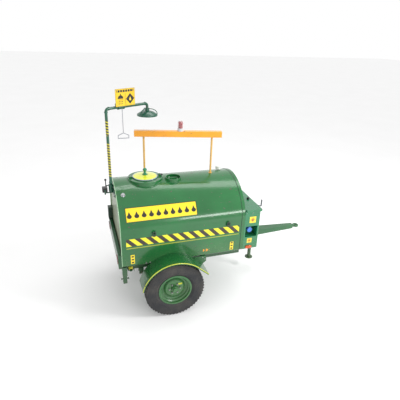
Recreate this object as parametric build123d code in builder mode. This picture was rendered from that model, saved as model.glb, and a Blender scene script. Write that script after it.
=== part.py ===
"""Towable emergency safety shower: a water tank on a two-wheel trailer, with a swivelling shower mast.

Millimetres. +X points forward to the tow eye, +Y to the left side, +Z up. The origin is on the
ground, midway between the rear lamp and the tip of the tow eye, on the centre plane.
"""
from build123d import *
from math import asin, atan2, cos, degrees, radians, sin, sqrt
import os

os.makedirs("parts", exist_ok=True)

# ------------------------------------------------------------------ driving dimensions
# tank
tank_length = 1576
tank_width = 1102
tank_base_z = 711
tank_shoulder_z = 1195
tank_crown_z = 1665
haunch_radius = 340
base_corner_r = 25
tank_wall = 5
end_plate = 5
rear_inset = 12
skirt_length = 44
# chassis
rail_height = 100
rail_width = 50
rail_setback = 96
rail_wall = 5
bumper_height = 190
bumper_depth = 42
# running gear
axle_x = 629
wheel_radius = 390
tyre_width = 178
rim_radius = 217
rim_width = 150
wheel_clear = 38
axle_beam = 50
stub_radius = 20
spring_span = 760
spring_camber = 105
leaf = 10
leaf_width = 60
leaf_lengths = (760, 560, 380)
nut_circle = 140
nut_count = 6
# fenders
fender_radius = 433
fender_width = 251
fender_tail = 190
fender_sheet = 3
fender_rear_angle = 168
fender_front_angle = 49
# openings and fittings on the tank top
manhole_x = 410
manhole_radius = 220
lid_seat = 10
manhole_top_z = 1680
lid_margin = 60
filler_gap = 28
filler_y = -91
filler_radius = 102
filler_height = 26
vent_x = 1460
vent_y = 109
vent_cap_radius = 40
# light bar
bar_section = 76
bar_base_z = 2160
bar_start = 118
bar_length = 1125
post_radius = 13
rear_post_x = 440
rear_post_y = 188
front_post_x = 1300
front_post_y = -10
# shower mast
mast_x = -28
mast_y = -50
mast_radius = 16.85
mast_wall = 3.2
mast_foot_z = 1538
arm_z = 2560
arm_length = 618
arm_angle = 30
elbow_radius = 34
head_radius = 130
head_drop = 64
head_height = 95
valve_reach = 209
valve_radius = 26
lever_length = 56
rod_length = 330
handle_width = 130
sign_width = 284
sign_height = 200
sign_rise = 12
sign_start = 118
# front cabinet
cabinet_length = 220
cabinet_top_z = 1290
cabinet_base_z = 722
cabinet_sheet = 3
lid_overhang = 22
recess_x = 22
recess_length = 172
recess_z = 904
recess_height = 160
recess_depth = 120
# drawbar and jack
eye_reach = 1231
eye_radius = 48
eye_bore = 25
drawbar_root_width = 206
drawbar_tip_width = 62
drawbar_root_height = 100
drawbar_tip_height = 68
eye_neck = 72
jack_reach = 454
jack_radius = 32
jack_top_z = 1085
jack_foot_z = 180
jack_foot_radius = 60
# rear legs
leg_section = 50
leg_base_z = 467
sleeve_base_z = 585
# work lamp behind the mast
lamp_width = 80
lamp_height = 58
lamp_depth = 62
lamp_centre_z = 1572
lamp_reach = 106

# ------------------------------------------------------------------ clearances
running = 0.05
sliding = 0.5
loose = 1.0
weld_gap = 0.2
apart = 0.4

# ------------------------------------------------------------------ derived places
half = tank_width / 2
rail_spacing = tank_width - 2 * rail_setback - rail_width
track = tank_width + 2 * wheel_clear + tyre_width
lid_radius = manhole_radius - lid_margin
manhole_mouth = lid_radius - lid_seat
filler_x = manhole_x + manhole_radius + filler_gap + filler_radius
jack_x = tank_length + jack_reach
eye_x = tank_length + eye_reach
drawbar_end_x = eye_x - eye_neck
rise = tank_crown_z - tank_shoulder_z
crown_radius = (half**2 + rise**2 - 2 * half * haunch_radius) / (2 * (rise - haunch_radius))
crown_centre_z = tank_crown_z - crown_radius
haunch_angle = degrees(atan2(tank_shoulder_z - crown_centre_z, half - haunch_radius))
rear_reach = lamp_reach + lamp_depth / 2
rear = (rear_reach - eye_x - eye_radius) / 2
shell_end = rear + tank_length + skirt_length
cabinet_front = shell_end + cabinet_length
wheel_x = rear + axle_x
wheel_y = track / 2
rail_top = tank_base_z
rail_base = rail_top - rail_height
mast_at = (rear + mast_x, mast_y)
arm_dir = (cos(radians(arm_angle)), sin(radians(arm_angle)))
UP = (Align.CENTER, Align.CENTER, Align.MIN)
DOWN = (Align.CENTER, Align.CENTER, Align.MAX)
SIDES = (1, -1)


def skin_z(y, inset=0):
    """Height of the tank's crown arc at distance y from the centre plane."""
    return crown_centre_z + sqrt((crown_radius - inset) ** 2 - y**2)


def tank_outline(inset=0):
    """Edges of the closed tank section, drawn inset inside the outer skin."""
    h = half - inset
    base = tank_base_z + inset
    corner = base_corner_r - inset
    with BuildLine() as outline:
        floor = Line((-h + corner, base), (h - corner, base))
        corner_a = JernArc(floor @ 1, (1, 0), corner, 90)
        wall_a = Line(corner_a @ 1, (h, tank_shoulder_z))
        haunch_a = JernArc(wall_a @ 1, (0, 1), haunch_radius - inset, haunch_angle)
        crown = JernArc(haunch_a @ 1, haunch_a % 1, crown_radius - inset, 180 - 2 * haunch_angle)
        haunch_b = JernArc(crown @ 1, crown % 1, haunch_radius - inset, haunch_angle)
        wall_b = Line(haunch_b @ 1, (-h, base + corner))
        JernArc(wall_b @ 1, (0, -1), corner, 90)
    return outline.edges()


def upright(x, y, z=0):
    """Vertical plane at a point, local x forward and local y up; its normal is -Y."""
    return Plane((x, y, z), x_dir=(1, 0, 0), z_dir=(0, -1, 0))


def arm_point(distance, z):
    """Point at a distance from the mast's axis along the arm."""
    return (mast_at[0] + distance * arm_dir[0], mast_at[1] + distance * arm_dir[1], z)


def arm_plane(distance, z):
    """Vertical plane along the arm: local x away from the mast, local y up."""
    return Plane(arm_point(distance, z), x_dir=(*arm_dir, 0), z_dir=(arm_dir[1], -arm_dir[0], 0))


def finish(part, name):
    """Label a finished sub-part and write its file."""
    part.label = name
    export_step(part, f"parts/{name}.step")


# ================================================================== chassis
spring_y = rail_spacing / 2
hanger_drop = 86
hanger_sheet = 8
cross_places = (rear + 300, wheel_x, rear + 960, rear + tank_length - 60)

with BuildPart() as chassis_frame:
    # two box-section rails with spring hangers welded beneath
    for side in SIDES:
        with BuildSketch(Plane.YZ.offset(rear + 60)):
            with Locations((side * spring_y, rail_top - rail_height / 2)):
                Rectangle(rail_width, rail_height)
                Rectangle(rail_width - 2 * rail_wall, rail_height - 2 * rail_wall, mode=Mode.SUBTRACT)
        extrude(amount=tank_length + skirt_length - 60)
        for end in SIDES:
            hanger_x = wheel_x + end * spring_span / 2
            with Locations((hanger_x, side * spring_y, rail_base - weld_gap)):
                Box(56, leaf_width + 2 * (hanger_sheet + loose), hanger_sheet, align=DOWN)
            for cheek in SIDES:
                cheek_y = side * spring_y + cheek * (leaf_width / 2 + hanger_sheet / 2 + loose)
                with BuildSketch(upright(hanger_x, cheek_y + hanger_sheet / 2)):
                    with Locations((0, rail_base - weld_gap)):
                        Rectangle(56, hanger_drop, align=(Align.CENTER, Align.MAX))
                    with Locations((0, rail_base - hanger_drop + 24)):
                        Circle(8 + running, mode=Mode.SUBTRACT)
                extrude(amount=hanger_sheet)
    # cross members between the rails
    for x in cross_places:
        with Locations((x, 0, rail_top - 35)):
            Box(50, rail_spacing - rail_width - 2 * weld_gap, 70)
finish(chassis_frame.part, "chassis_frame")

with BuildPart() as rear_bumper:
    # folded channel across the tail, open towards the tank
    with Locations((rear - bumper_depth, 0, tank_base_z - 10)):
        Box(bumper_depth - 1, tank_width, bumper_height, align=(Align.MIN, Align.CENTER, Align.MIN))
        with Locations((4, 0, 4)):
            Box(
                bumper_depth,
                tank_width - 8,
                bumper_height - 8,
                align=(Align.MIN, Align.CENTER, Align.MIN),
                mode=Mode.SUBTRACT,
            )
    lip = rear_bumper.edges().filter_by(Axis.Y).sort_by(Axis.X)[:2]
    fillet(lip, 8)
    # square sleeves for the rear legs, welded behind the channel's ends
    for side in SIDES:
        with Locations((rear + 30, side * (half - 31), sleeve_base_z)):
            Box(60, 60, tank_base_z - sleeve_base_z - 1, align=UP)
            Box(leg_section + 2 * sliding, leg_section + 2 * sliding, 300, align=UP, mode=Mode.SUBTRACT)
    with Locations((rear + 30, 0, rail_base + 20)):
        Box(60, tank_width - 2 * 61 + 0.2, 60, align=UP)
finish(rear_bumper.part, "rear_bumper")

# ================================================================== springs and axle
spring_arc_r = (spring_span**2 / 4 + spring_camber**2) / (2 * spring_camber)
pin_z = rail_base - hanger_drop + 24
spring_low_z = pin_z - spring_camber
spring_centre_z = spring_low_z + spring_arc_r

with BuildPart() as leaf_springs:
    for side in SIDES:
        place = upright(wheel_x, side * spring_y + leaf_width / 2, spring_centre_z)
        for number, length in enumerate(leaf_lengths):
            inner = spring_arc_r - leaf / 2 + number * leaf
            sweep_angle = 2 * degrees(atan2(length / 2, spring_arc_r))
            with BuildSketch(place):
                with BuildLine():
                    low = CenterArc((0, 0), inner + leaf, -90 - sweep_angle / 2, sweep_angle)
                    high = CenterArc((0, 0), inner, -90 - sweep_angle / 2, sweep_angle)
                    Line(low @ 0, high @ 0)
                    Line(low @ 1, high @ 1)
                make_face()
            extrude(amount=leaf_width)
        for end in SIDES:
            with BuildSketch(upright(wheel_x + end * spring_span / 2, side * spring_y + leaf_width / 2, pin_z)):
                Circle(17)
            extrude(amount=leaf_width)
            with BuildSketch(upright(wheel_x + end * spring_span / 2, side * spring_y + leaf_width / 2, pin_z)):
                Circle(8 + running)
            extrude(amount=leaf_width, mode=Mode.SUBTRACT)
finish(leaf_springs.part, "leaf_springs")

pack_top = spring_low_z + leaf / 2
pack_base = spring_low_z - leaf / 2 - (len(leaf_lengths) - 1) * leaf
axle_z = wheel_radius
seat_height = pack_base - axle_z - axle_beam / 2
clamp_plate = 10
bolt_x = 38
bolt_y = 40

with BuildPart() as axle:
    with Locations((wheel_x, 0, axle_z)):
        Box(axle_beam, 2 * (wheel_y - tyre_width / 2 - 14), axle_beam)
    beam_end = wheel_y - tyre_width / 2 - 14
    for side in SIDES:
        with Locations(Plane((wheel_x, side * beam_end, axle_z), x_dir=(1, 0, 0), z_dir=(0, side, 0))):
            Cylinder(stub_radius, wheel_y + 52 - beam_end, align=UP)
        with Locations((wheel_x, side * spring_y, axle_z + axle_beam / 2)):
            Box(90, leaf_width, seat_height - 0.5, align=UP)
finish(axle.part, "axle")

with BuildPart() as spring_clamps:
    for side in SIDES:
        with Locations((wheel_x, side * spring_y, pack_top + 3)):
            Box(110, 110, clamp_plate, align=UP)
        with Locations((wheel_x, side * spring_y, axle_z - axle_beam / 2 - 0.5)):
            Box(110, 110, clamp_plate, align=DOWN)
        with Locations((wheel_x, side * spring_y, axle_z - axle_beam / 2 - 22)):
            with GridLocations(2 * bolt_x, 2 * bolt_y, 2, 2):
                Cylinder(6, pack_top + 30 - axle_z + axle_beam / 2 + 22, align=UP)
        for end in SIDES:
            pin_y = side * spring_y
            place = Plane((wheel_x + end * spring_span / 2, pin_y, pin_z), x_dir=(1, 0, 0), z_dir=(0, 1, 0))
            with Locations(place):
                Cylinder(8, leaf_width + 2 * (hanger_sheet + loose) + 12)
finish(spring_clamps.part, "spring_clamps")

# ================================================================== tank
with BuildPart() as tank_wrap:
    with BuildSketch(Plane.YZ.offset(rear)):
        make_face(tank_outline())
        make_face(tank_outline(tank_wall), mode=Mode.SUBTRACT)
    extrude(amount=tank_length + skirt_length)
    with Locations((rear + manhole_x, 0, tank_crown_z + 10)):
        Hole(manhole_radius + 0.2, depth=150)
    with Locations((rear + filler_x, filler_y, tank_crown_z + 10)):
        Hole(filler_radius + 0.2, depth=90)
    with Locations((rear + vent_x, vent_y, tank_crown_z + 10)):
        Hole(15.2, depth=60)
finish(tank_wrap.part, "tank_wrap")

pipe_radius = 16.8
pipe_y = 250
pipe_z = 1232
outlet_z = mast_foot_z + 32
suction_z = 790

with BuildPart() as rear_plate:
    with BuildSketch(Plane.YZ.offset(rear + rear_inset)):
        make_face(tank_outline(tank_wall + 0.2))
        with Locations((mast_y, outlet_z)):
            Circle(pipe_radius + 0.2, mode=Mode.SUBTRACT)
    extrude(amount=end_plate)
finish(rear_plate.part, "rear_plate")

with BuildPart() as front_plate:
    with BuildSketch(Plane.YZ.offset(rear + tank_length - end_plate)):
        make_face(tank_outline(tank_wall + 0.2))
        with Locations((pipe_y, pipe_z), (pipe_y, suction_z)):
            Circle(pipe_radius + 0.2, mode=Mode.SUBTRACT)
    extrude(amount=end_plate)
finish(front_plate.part, "front_plate")

# ------------------------------------------------------------------ manhole
neck_base_z = skin_z(manhole_radius) - 24
neck_wall = 8
ledge = 10
gasket = 5
lid_base_z = manhole_top_z + gasket
hinge_x = rear + manhole_x - manhole_radius + 26
hinge_z = manhole_top_z + 14
hinge_pin = 5

with BuildPart() as manhole_neck:
    with Locations((rear + manhole_x, 0, neck_base_z)):
        Cylinder(manhole_radius, manhole_top_z - neck_base_z, align=UP)
        Cylinder(manhole_radius - neck_wall, manhole_top_z - neck_base_z - ledge, align=UP, mode=Mode.SUBTRACT)
        Cylinder(manhole_mouth, manhole_top_z - neck_base_z, align=UP, mode=Mode.SUBTRACT)
    fillet(manhole_neck.edges().filter_by(GeomType.CIRCLE).group_by(Axis.Z)[-1].sort_by(SortBy.RADIUS)[-1], 5)
    # hinge ears behind the lid and the swing bolt's ears in front of it
    for x, z in ((hinge_x, hinge_z), (rear + manhole_x + manhole_radius - 26, hinge_z)):
        for ear in SIDES:
            with BuildSketch(upright(x, ear * 21 + 5, 0)):
                with BuildLine():
                    Polyline((-16, manhole_top_z - 2), (16, manhole_top_z - 2), (11, z), (-11, z), close=True)
                make_face()
                with Locations((0, z)):
                    Circle(11)
                    Circle(hinge_pin + running, mode=Mode.SUBTRACT)
            extrude(amount=10)
finish(manhole_neck.part, "manhole_neck")

with BuildPart() as manhole_gasket:
    with Locations((rear + manhole_x, 0, manhole_top_z)):
        Cylinder(lid_radius - 2, gasket - 0.2, align=UP)
        Cylinder(manhole_mouth - 4, gasket, align=UP, mode=Mode.SUBTRACT)
finish(manhole_gasket.part, "manhole_gasket")

lid_rim = 9
nut_seat = 12
fork_base_z = hinge_z + hinge_pin + 0.6
fork_top_z = hinge_z + nut_seat - 0.6
fork_end = manhole_radius - 26 + 2.5
lid_crown = 16
lid_dome_r = ((lid_radius - 12) ** 2 + lid_crown**2) / (2 * lid_crown)
lid_dome_angle = degrees(asin((lid_radius - 12) / lid_dome_r))

with BuildPart() as manhole_lid:
    lid_axis = Axis((rear + manhole_x, 0, 0), (0, 0, 1))
    with BuildSketch(upright(rear + manhole_x, 0, lid_base_z)):
        with BuildLine():
            base = Line((0, 0), (lid_radius, 0))
            rim = Line(base @ 1, (lid_radius, lid_rim))
            Line(rim @ 1, (lid_radius - 12, lid_rim))
            dome = CenterArc((0, lid_rim + lid_crown - lid_dome_r), lid_dome_r, 90 - lid_dome_angle, lid_dome_angle)
            Line(dome @ 1, (0, 0))
        make_face()
    revolve(axis=lid_axis)
    # hinge arm at the back and a forked tongue for the swing bolt at the front
    with BuildSketch(upright(hinge_x, 15, 0)):
        with BuildLine():
            Polyline(
                (0, hinge_z - 8),
                (52, lid_base_z + 1),
                (52, lid_base_z + lid_rim),
                (0, hinge_z + 8),
                close=True,
            )
        make_face()
        with Locations((0, hinge_z)):
            Circle(11)
    extrude(amount=30)
    with Locations(Plane((hinge_x, 0, hinge_z), x_dir=(1, 0, 0), z_dir=(0, 1, 0))):
        Cylinder(hinge_pin, 58)
    with BuildSketch(upright(rear + manhole_x, 15, 0)):
        Polygon(
            (lid_radius - 14, lid_base_z + 2),
            (lid_radius - 2, lid_base_z + 2),
            (lid_radius + 8, fork_base_z),
            (fork_end, fork_base_z),
            (fork_end, fork_top_z),
            (lid_radius - 4, fork_top_z),
            (lid_radius - 14, lid_base_z + lid_rim),
            align=None,
        )
    extrude(amount=30)
    with Locations((rear + manhole_x + manhole_radius - 26, 0, lid_base_z)):
        Box(16, 13, 40, align=UP, mode=Mode.SUBTRACT)
finish(manhole_lid.part, "manhole_lid")

knob_base_z = lid_base_z + lid_rim + lid_crown - 2
knob_cap = 15
knob_cap_r = (knob_cap**2 + 6**2) / (2 * 6)
knob_cap_angle = degrees(asin(knob_cap / knob_cap_r))
with BuildPart() as lid_knob:
    with BuildSketch(upright(rear + manhole_x, 0, knob_base_z)):
        with BuildLine():
            Polyline((0, 2), (34, 2), (34, 9), (21, 16))
            Spline((21, 16), (16, 36), (20, 54))
            ThreePointArc((20, 54), (27, 69), (knob_cap, 84))
            CenterArc((0, 90 - knob_cap_r), knob_cap_r, 90 - knob_cap_angle, knob_cap_angle)
            Line((0, 90), (0, 2))
        make_face()
    revolve(axis=Axis((rear + manhole_x, 0, 0), (0, 0, 1)))
finish(lid_knob.part, "lid_knob")

bolt_pivot_x = rear + manhole_x + manhole_radius - 26
with BuildPart() as swing_bolt:
    # lies folded outwards; it swings up into the lid's forked tongue
    with Locations(Plane((bolt_pivot_x, 0, hinge_z), x_dir=(1, 0, 0), z_dir=(0, 1, 0))):
        Cylinder(hinge_pin, 58)
    with Locations(Plane((bolt_pivot_x, 0, hinge_z), x_dir=(0, 1, 0), z_dir=(1, 0, 0))):
        Cylinder(5, nut_seat + 32, align=UP)
        with Locations((0, 0, nut_seat)):
            Cylinder(nut_seat, 14, align=UP)
        with Locations((0, 0, nut_seat + 10)):
            Box(60, 9, 8)
finish(swing_bolt.part, "swing_bolt")

# ------------------------------------------------------------------ filler and vent
filler_top_z = skin_z(filler_y) + filler_height
filler_base_z = skin_z(abs(filler_y) + filler_radius) - 16
filler_shelf_z = filler_top_z - 34
filler_mouth = 52
cap_radius = 62

with BuildPart() as filler_neck:
    with Locations((rear + filler_x, filler_y, filler_base_z)):
        Cylinder(filler_radius, filler_top_z - filler_base_z, align=UP)
        Cylinder(filler_radius - 8, filler_top_z - filler_base_z, align=UP, mode=Mode.SUBTRACT)
    with Locations((rear + filler_x, filler_y, filler_shelf_z)):
        Cylinder(filler_radius - 4, 6, align=DOWN)
        Cylinder(filler_mouth, 20, align=DOWN, mode=Mode.SUBTRACT)
    fillet(filler_neck.edges().filter_by(GeomType.CIRCLE).group_by(Axis.Z)[-1], 3)
finish(filler_neck.part, "filler_neck")

with BuildPart() as filler_cap:
    with Locations((rear + filler_x, filler_y, filler_shelf_z + 0.3)):
        Cylinder(cap_radius, 10, align=UP)
        Cylinder(filler_mouth - apart, 18, align=DOWN)
    fillet(filler_cap.edges().filter_by(GeomType.CIRCLE).group_by(Axis.Z)[-1], 3)
    with Locations((rear + filler_x, filler_y, filler_shelf_z + 9)):
        Box(96, 12, 16, align=UP)
    with Locations((rear + filler_x, filler_y, filler_shelf_z - 17)):
        Cylinder(filler_mouth - 8, 12, align=DOWN, mode=Mode.SUBTRACT)
finish(filler_cap.part, "filler_cap")

with BuildPart() as vent:
    with Locations((rear + vent_x, vent_y, skin_z(vent_y) - 20)):
        Cylinder(15, 46, align=UP)
        Cylinder(11, 40, align=UP, mode=Mode.SUBTRACT)
    with Locations((rear + vent_x, vent_y, skin_z(vent_y) + 14)):
        Cylinder(vent_cap_radius, 46, align=UP)
        Cylinder(vent_cap_radius - 4, 38, align=UP, mode=Mode.SUBTRACT)
        Cylinder(15, 42, align=UP)
        Cylinder(11, 36, align=UP, mode=Mode.SUBTRACT)
    fillet(vent.edges().filter_by(GeomType.CIRCLE).group_by(Axis.Z)[-1], 8)
finish(vent.part, "vent")

# ================================================================== light bar
bar_angle = degrees(atan2(front_post_y - rear_post_y, front_post_x - rear_post_x))
bar_dir = (cos(radians(bar_angle)), sin(radians(bar_angle)))
post_foot = 5
rear_post_foot_z = manhole_top_z


def bar_point(distance):
    """Point on the light bar's axis in plan, measured forward from the rear post."""
    return (rear + rear_post_x + distance * bar_dir[0], rear_post_y + distance * bar_dir[1])


with BuildPart() as light_bar_posts:
    for x, y, foot_z in (
        (rear + rear_post_x, rear_post_y, rear_post_foot_z),
        (rear + front_post_x, front_post_y, tank_crown_z + weld_gap),
    ):
        with Locations((x, y, foot_z)):
            Cylinder(post_radius, bar_base_z - foot_z - 0.2, align=UP)
            Cylinder(post_radius - 2.5, bar_base_z - foot_z, align=UP, mode=Mode.SUBTRACT)
            Cylinder(24, post_foot, align=UP)
finish(light_bar_posts.part, "light_bar_posts")

bar_plane = Plane(
    (*bar_point(-bar_start), bar_base_z + bar_section / 2),
    x_dir=(-bar_dir[1], bar_dir[0], 0),
    z_dir=(*bar_dir, 0),
)
with BuildPart() as light_bar:
    with BuildSketch(bar_plane):
        RectangleRounded(bar_section, bar_section, 5)
    extrude(amount=bar_length)
    with BuildSketch(bar_plane.offset(3)):
        RectangleRounded(bar_section - 6, bar_section - 6, 2.5)
    extrude(amount=bar_length - 6, mode=Mode.SUBTRACT)
finish(light_bar.part, "light_bar")

beacon_distance = bar_length / 2 - bar_start + 26
beacon_z = bar_base_z + bar_section
beacon_base_height = 36
beacon_lens_height = 98
beacon_radius = 40
with BuildPart() as beacon_base:
    with Locations((*bar_point(beacon_distance), beacon_z)):
        Cylinder(beacon_radius + 2, 10, align=UP)
        Cylinder(beacon_radius - 2, beacon_base_height, align=UP)
    fillet(beacon_base.edges().filter_by(GeomType.CIRCLE).group_by(Axis.Z)[-1], 3)
finish(beacon_base.part, "beacon_base")

with BuildPart() as beacon_lens:
    with Locations((*bar_point(beacon_distance), beacon_z + beacon_base_height)):
        Cylinder(beacon_radius, beacon_lens_height, align=UP)
        fillet(beacon_lens.edges().filter_by(GeomType.CIRCLE).group_by(Axis.Z)[-1], 8)
        Cylinder(beacon_radius - 2.5, beacon_lens_height - 3, align=UP, mode=Mode.SUBTRACT)
finish(beacon_lens.part, "beacon_lens")

with BuildPart() as beacon_lamp:
    with Locations((*bar_point(beacon_distance), beacon_z + beacon_base_height)):
        Cylinder(beacon_radius - 12, beacon_lens_height - 14, align=UP)
    fillet(beacon_lamp.edges().filter_by(GeomType.CIRCLE).group_by(Axis.Z)[-1], 6)
finish(beacon_lamp.part, "beacon_lamp")

# ================================================================== shower mast
socket_radius = 29
socket_height = 98
spigot_radius = mast_radius - 0.7
bracket_plate = 8
lamp_x = rear - lamp_reach
lamp_arm_z = lamp_centre_z - 48
lever_z = mast_foot_z + socket_height - 14
lock_bore = 6
with BuildPart() as mast_bracket:
    # swivel socket on a bolted plate; a stub brings the water out of the tank
    with Locations((*mast_at, mast_foot_z)):
        Cylinder(socket_radius, socket_height, align=UP)
    with Locations((rear + rear_inset - 0.2, mast_y, mast_foot_z + 7)):
        Box(bracket_plate, 110, 150, align=(Align.MAX, Align.CENTER, Align.CENTER))
    with Locations((rear + rear_inset - bracket_plate, mast_y, mast_foot_z + 36)):
        Box(28, 34, 64, align=(Align.MAX, Align.CENTER, Align.CENTER))
    with Locations((*mast_at, mast_foot_z + 12)):
        Cylinder(spigot_radius + running, socket_height, align=UP, mode=Mode.SUBTRACT)
    with Locations(Plane((mast_at[0], mast_y, outlet_z), x_dir=(0, 1, 0), z_dir=(1, 0, 0))):
        Cylinder(11, 60, align=UP, mode=Mode.SUBTRACT)
    with Locations(Plane((mast_at[0], mast_y, lever_z), x_dir=(0, 1, 0), z_dir=(-1, 0, 0))):
        Cylinder(lock_bore + running, 60, align=UP, mode=Mode.SUBTRACT)
    # arm and yoke that carry the work lamp
    with Locations((rear + rear_inset - bracket_plate, mast_y, lamp_arm_z)):
        Box(lamp_reach + rear_inset - bracket_plate, 14, 10, align=(Align.MAX, Align.CENTER, Align.CENTER))
    with Locations((lamp_x, mast_y, lamp_arm_z - 5)):
        Box(16, lamp_width + 14, 6, align=UP)
    for ear in SIDES:
        with Locations((lamp_x, mast_y + ear * (lamp_width / 2 + 5), lamp_arm_z - 5)):
            Box(16, 4, 63, align=UP)
    with Locations(Plane((lamp_x, mast_y, lamp_centre_z), x_dir=(1, 0, 0), z_dir=(0, 1, 0))):
        Cylinder(4 + running, lamp_width + 40, mode=Mode.SUBTRACT)
finish(mast_bracket.part, "mast_bracket")

with BuildPart() as lock_lever:
    # clamp screw through the socket's wall, bent up to a ball knob
    with Locations(Plane((mast_at[0] - spigot_radius - 1, mast_y, lever_z), x_dir=(0, 1, 0), z_dir=(-1, 0, 0))):
        Cylinder(lock_bore, 52, align=UP)
    with Locations((mast_at[0] - spigot_radius - 1 - 52 + lock_bore, mast_y, lever_z)):
        Cylinder(lock_bore, 64, align=UP)
        with Locations((0, 0, 76)):
            Sphere(14)
finish(lock_lever.part, "lock_lever")

with BuildPart() as work_lamp:
    # finned housing that looks back and down over the shower place
    with Locations((lamp_x, mast_y, lamp_centre_z)):
        Box(lamp_depth, lamp_width, lamp_height)
    fillet(work_lamp.edges().filter_by(Axis.X), 6)
    with Locations((lamp_x - lamp_depth / 2, mast_y, lamp_centre_z)):
        Box(6, lamp_width - 14, lamp_height - 14, mode=Mode.SUBTRACT)
    for ridge in range(-3, 4):
        with Locations((lamp_x + lamp_depth / 2, mast_y, lamp_centre_z + ridge * 8)):
            Box(14, lamp_width, 3.4, mode=Mode.SUBTRACT)
    with Locations(Plane((lamp_x, mast_y, lamp_centre_z), x_dir=(1, 0, 0), z_dir=(0, 1, 0))):
        Cylinder(4, lamp_width + 22)
finish(work_lamp.part, "work_lamp")

sign_offset = valve_radius + 4
with BuildPart() as mast_pipe:
    # spigot, upright, elbow, arm and the turned-down end, one welded pipe
    with BuildLine():
        FilletPolyline(
            (*mast_at, mast_foot_z + socket_height + 2),
            (*mast_at, arm_z),
            arm_point(arm_length, arm_z),
            arm_point(arm_length, arm_z - head_drop),
            radius=elbow_radius,
        )
    with BuildSketch(Plane((*mast_at, mast_foot_z + socket_height + 2))):
        Circle(mast_radius)
        Circle(mast_radius - mast_wall, mode=Mode.SUBTRACT)
    sweep()
    with Locations((*mast_at, mast_foot_z + 14)):
        Cylinder(spigot_radius, socket_height - 11, align=UP)
        Cylinder(11, socket_height - 11, align=UP, mode=Mode.SUBTRACT)
    # two tabs on the arm for the sign
    for distance in (sign_start + 30, sign_start + sign_width - 30):
        with BuildSketch(arm_plane(distance, arm_z + 4)):
            Rectangle(34, 44, align=(Align.CENTER, Align.MIN))
        extrude(amount=sign_offset)
finish(mast_pipe.part, "mast_pipe")


# ------------------------------------------------------------------ shower valve, pull rod and head
stem_radius = 6
valve_length = 76
lever_sheet = 5
lever_offset = valve_radius + 9
rod_radius = 4.5
with BuildPart() as shower_valve:
    # a ball valve clamped in the arm: body, end hexagons and the stem's boss
    with Locations(arm_plane(valve_reach, arm_z)):
        Cylinder(valve_radius, valve_length, rotation=(0, 90, 0))
        with Locations((-valve_length / 2, 0, 0), (valve_length / 2, 0, 0)):
            Cylinder(valve_radius + 2, 12, rotation=(0, 90, 0))
        Cylinder(14, lever_offset - 3, align=DOWN)
    with Locations(arm_plane(valve_reach, arm_z)):
        Cylinder(mast_radius + 0.2, 200, rotation=(0, 90, 0), mode=Mode.SUBTRACT)
        with Locations((0, 0, -mast_radius - 3)):
            Cylinder(stem_radius + running, 40, align=DOWN, mode=Mode.SUBTRACT)
finish(shower_valve.part, "shower_valve")

with BuildPart() as valve_lever:
    # flat lever from the stem outward along the arm; the pull rod hooks into its end
    with BuildSketch(arm_plane(valve_reach, arm_z).offset(-lever_offset - lever_sheet)):
        SlotCenterPoint((lever_length / 2, 0), (0, 0), 24)
        with Locations((lever_length, 0)):
            Circle(4 + running, mode=Mode.SUBTRACT)
    extrude(amount=lever_sheet)
    with Locations(arm_plane(valve_reach, arm_z).offset(-mast_radius - 3.5)):
        Cylinder(stem_radius, lever_offset + lever_sheet - mast_radius, align=DOWN)
finish(valve_lever.part, "valve_lever")

rod_offset = lever_offset + lever_sheet + 1 + rod_radius
handle_height = 66
handle_slope = 30
handle_rod = 4.5
with BuildPart() as pull_rod:
    # straight rod with a cross pin in the lever's eye, ending in a closed handle
    with Locations(arm_plane(valve_reach + lever_length, arm_z).offset(-lever_offset + 2)):
        Cylinder(4, rod_offset - lever_offset + 2, align=DOWN)
    top = arm_plane(valve_reach + lever_length, arm_z).offset(-rod_offset)
    with Locations(top):
        Sphere(rod_radius + 1.5)
        Cylinder(rod_radius, rod_length, rotation=(90, 0, 0), align=UP)
    with BuildSketch(upright(*top.origin)):
        with BuildLine():
            Polyline(
                (0, -rod_length),
                (handle_width / 2, -rod_length - handle_slope),
                (handle_width / 2, -rod_length - handle_height),
                (-handle_width / 2, -rod_length - handle_height),
                (-handle_width / 2, -rod_length - handle_slope),
                close=True,
            )
        trace(line_width=2 * handle_rod)
    extrude(amount=handle_rod, both=True)
finish(pull_rod.part, "pull_rod")

head_top_z = arm_z - head_drop
head_base_z = head_top_z + 6 - head_height
head_sheet = 3
hub_radius = 27
rib_count = 3
head_at = arm_point(arm_length, head_base_z)
head_axis = Axis(head_at, (0, 0, 1))
with BuildPart() as shower_head:
    # spun bell with a threaded hub, and ribs that run from the hub to the rim
    with BuildSketch(Plane(head_at, x_dir=(*arm_dir, 0), z_dir=(arm_dir[1], -arm_dir[0], 0))):
        with BuildLine():
            hub = Polyline((mast_radius + 0.2, 60), (mast_radius + 0.2, head_height), (hub_radius, head_height))
            neck = Line(hub @ 1, (hub_radius, 62))
            bell = ThreePointArc(neck @ 1, (84, 46), (head_radius - 6, 20))
            rim = Polyline(bell @ 1, (head_radius, 18), (head_radius, 0), (head_radius - head_sheet, 0))
            inner = Line(rim @ 1, (head_radius - head_sheet, 15))
            under = ThreePointArc(inner @ 1, (82, 42), (hub_radius, 58))
            Polyline(under @ 1, (12, 58), (12, 60), (mast_radius + 0.2, 60))
        make_face()
    revolve(axis=head_axis)
    for number in range(rib_count):
        turn = radians(arm_angle + 70 + number * 360 / rib_count)
        rib_plane = Plane(head_at, x_dir=(cos(turn), sin(turn), 0), z_dir=(sin(turn), -cos(turn), 0))
        with BuildSketch(rib_plane):
            with BuildLine():
                Spline((hub_radius - 4, 84), (74, 82), (113, 60), (head_radius - 4, 16))
            trace(line_width=8)
        extrude(amount=5, both=True)
finish(shower_head.part, "shower_head")

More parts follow.
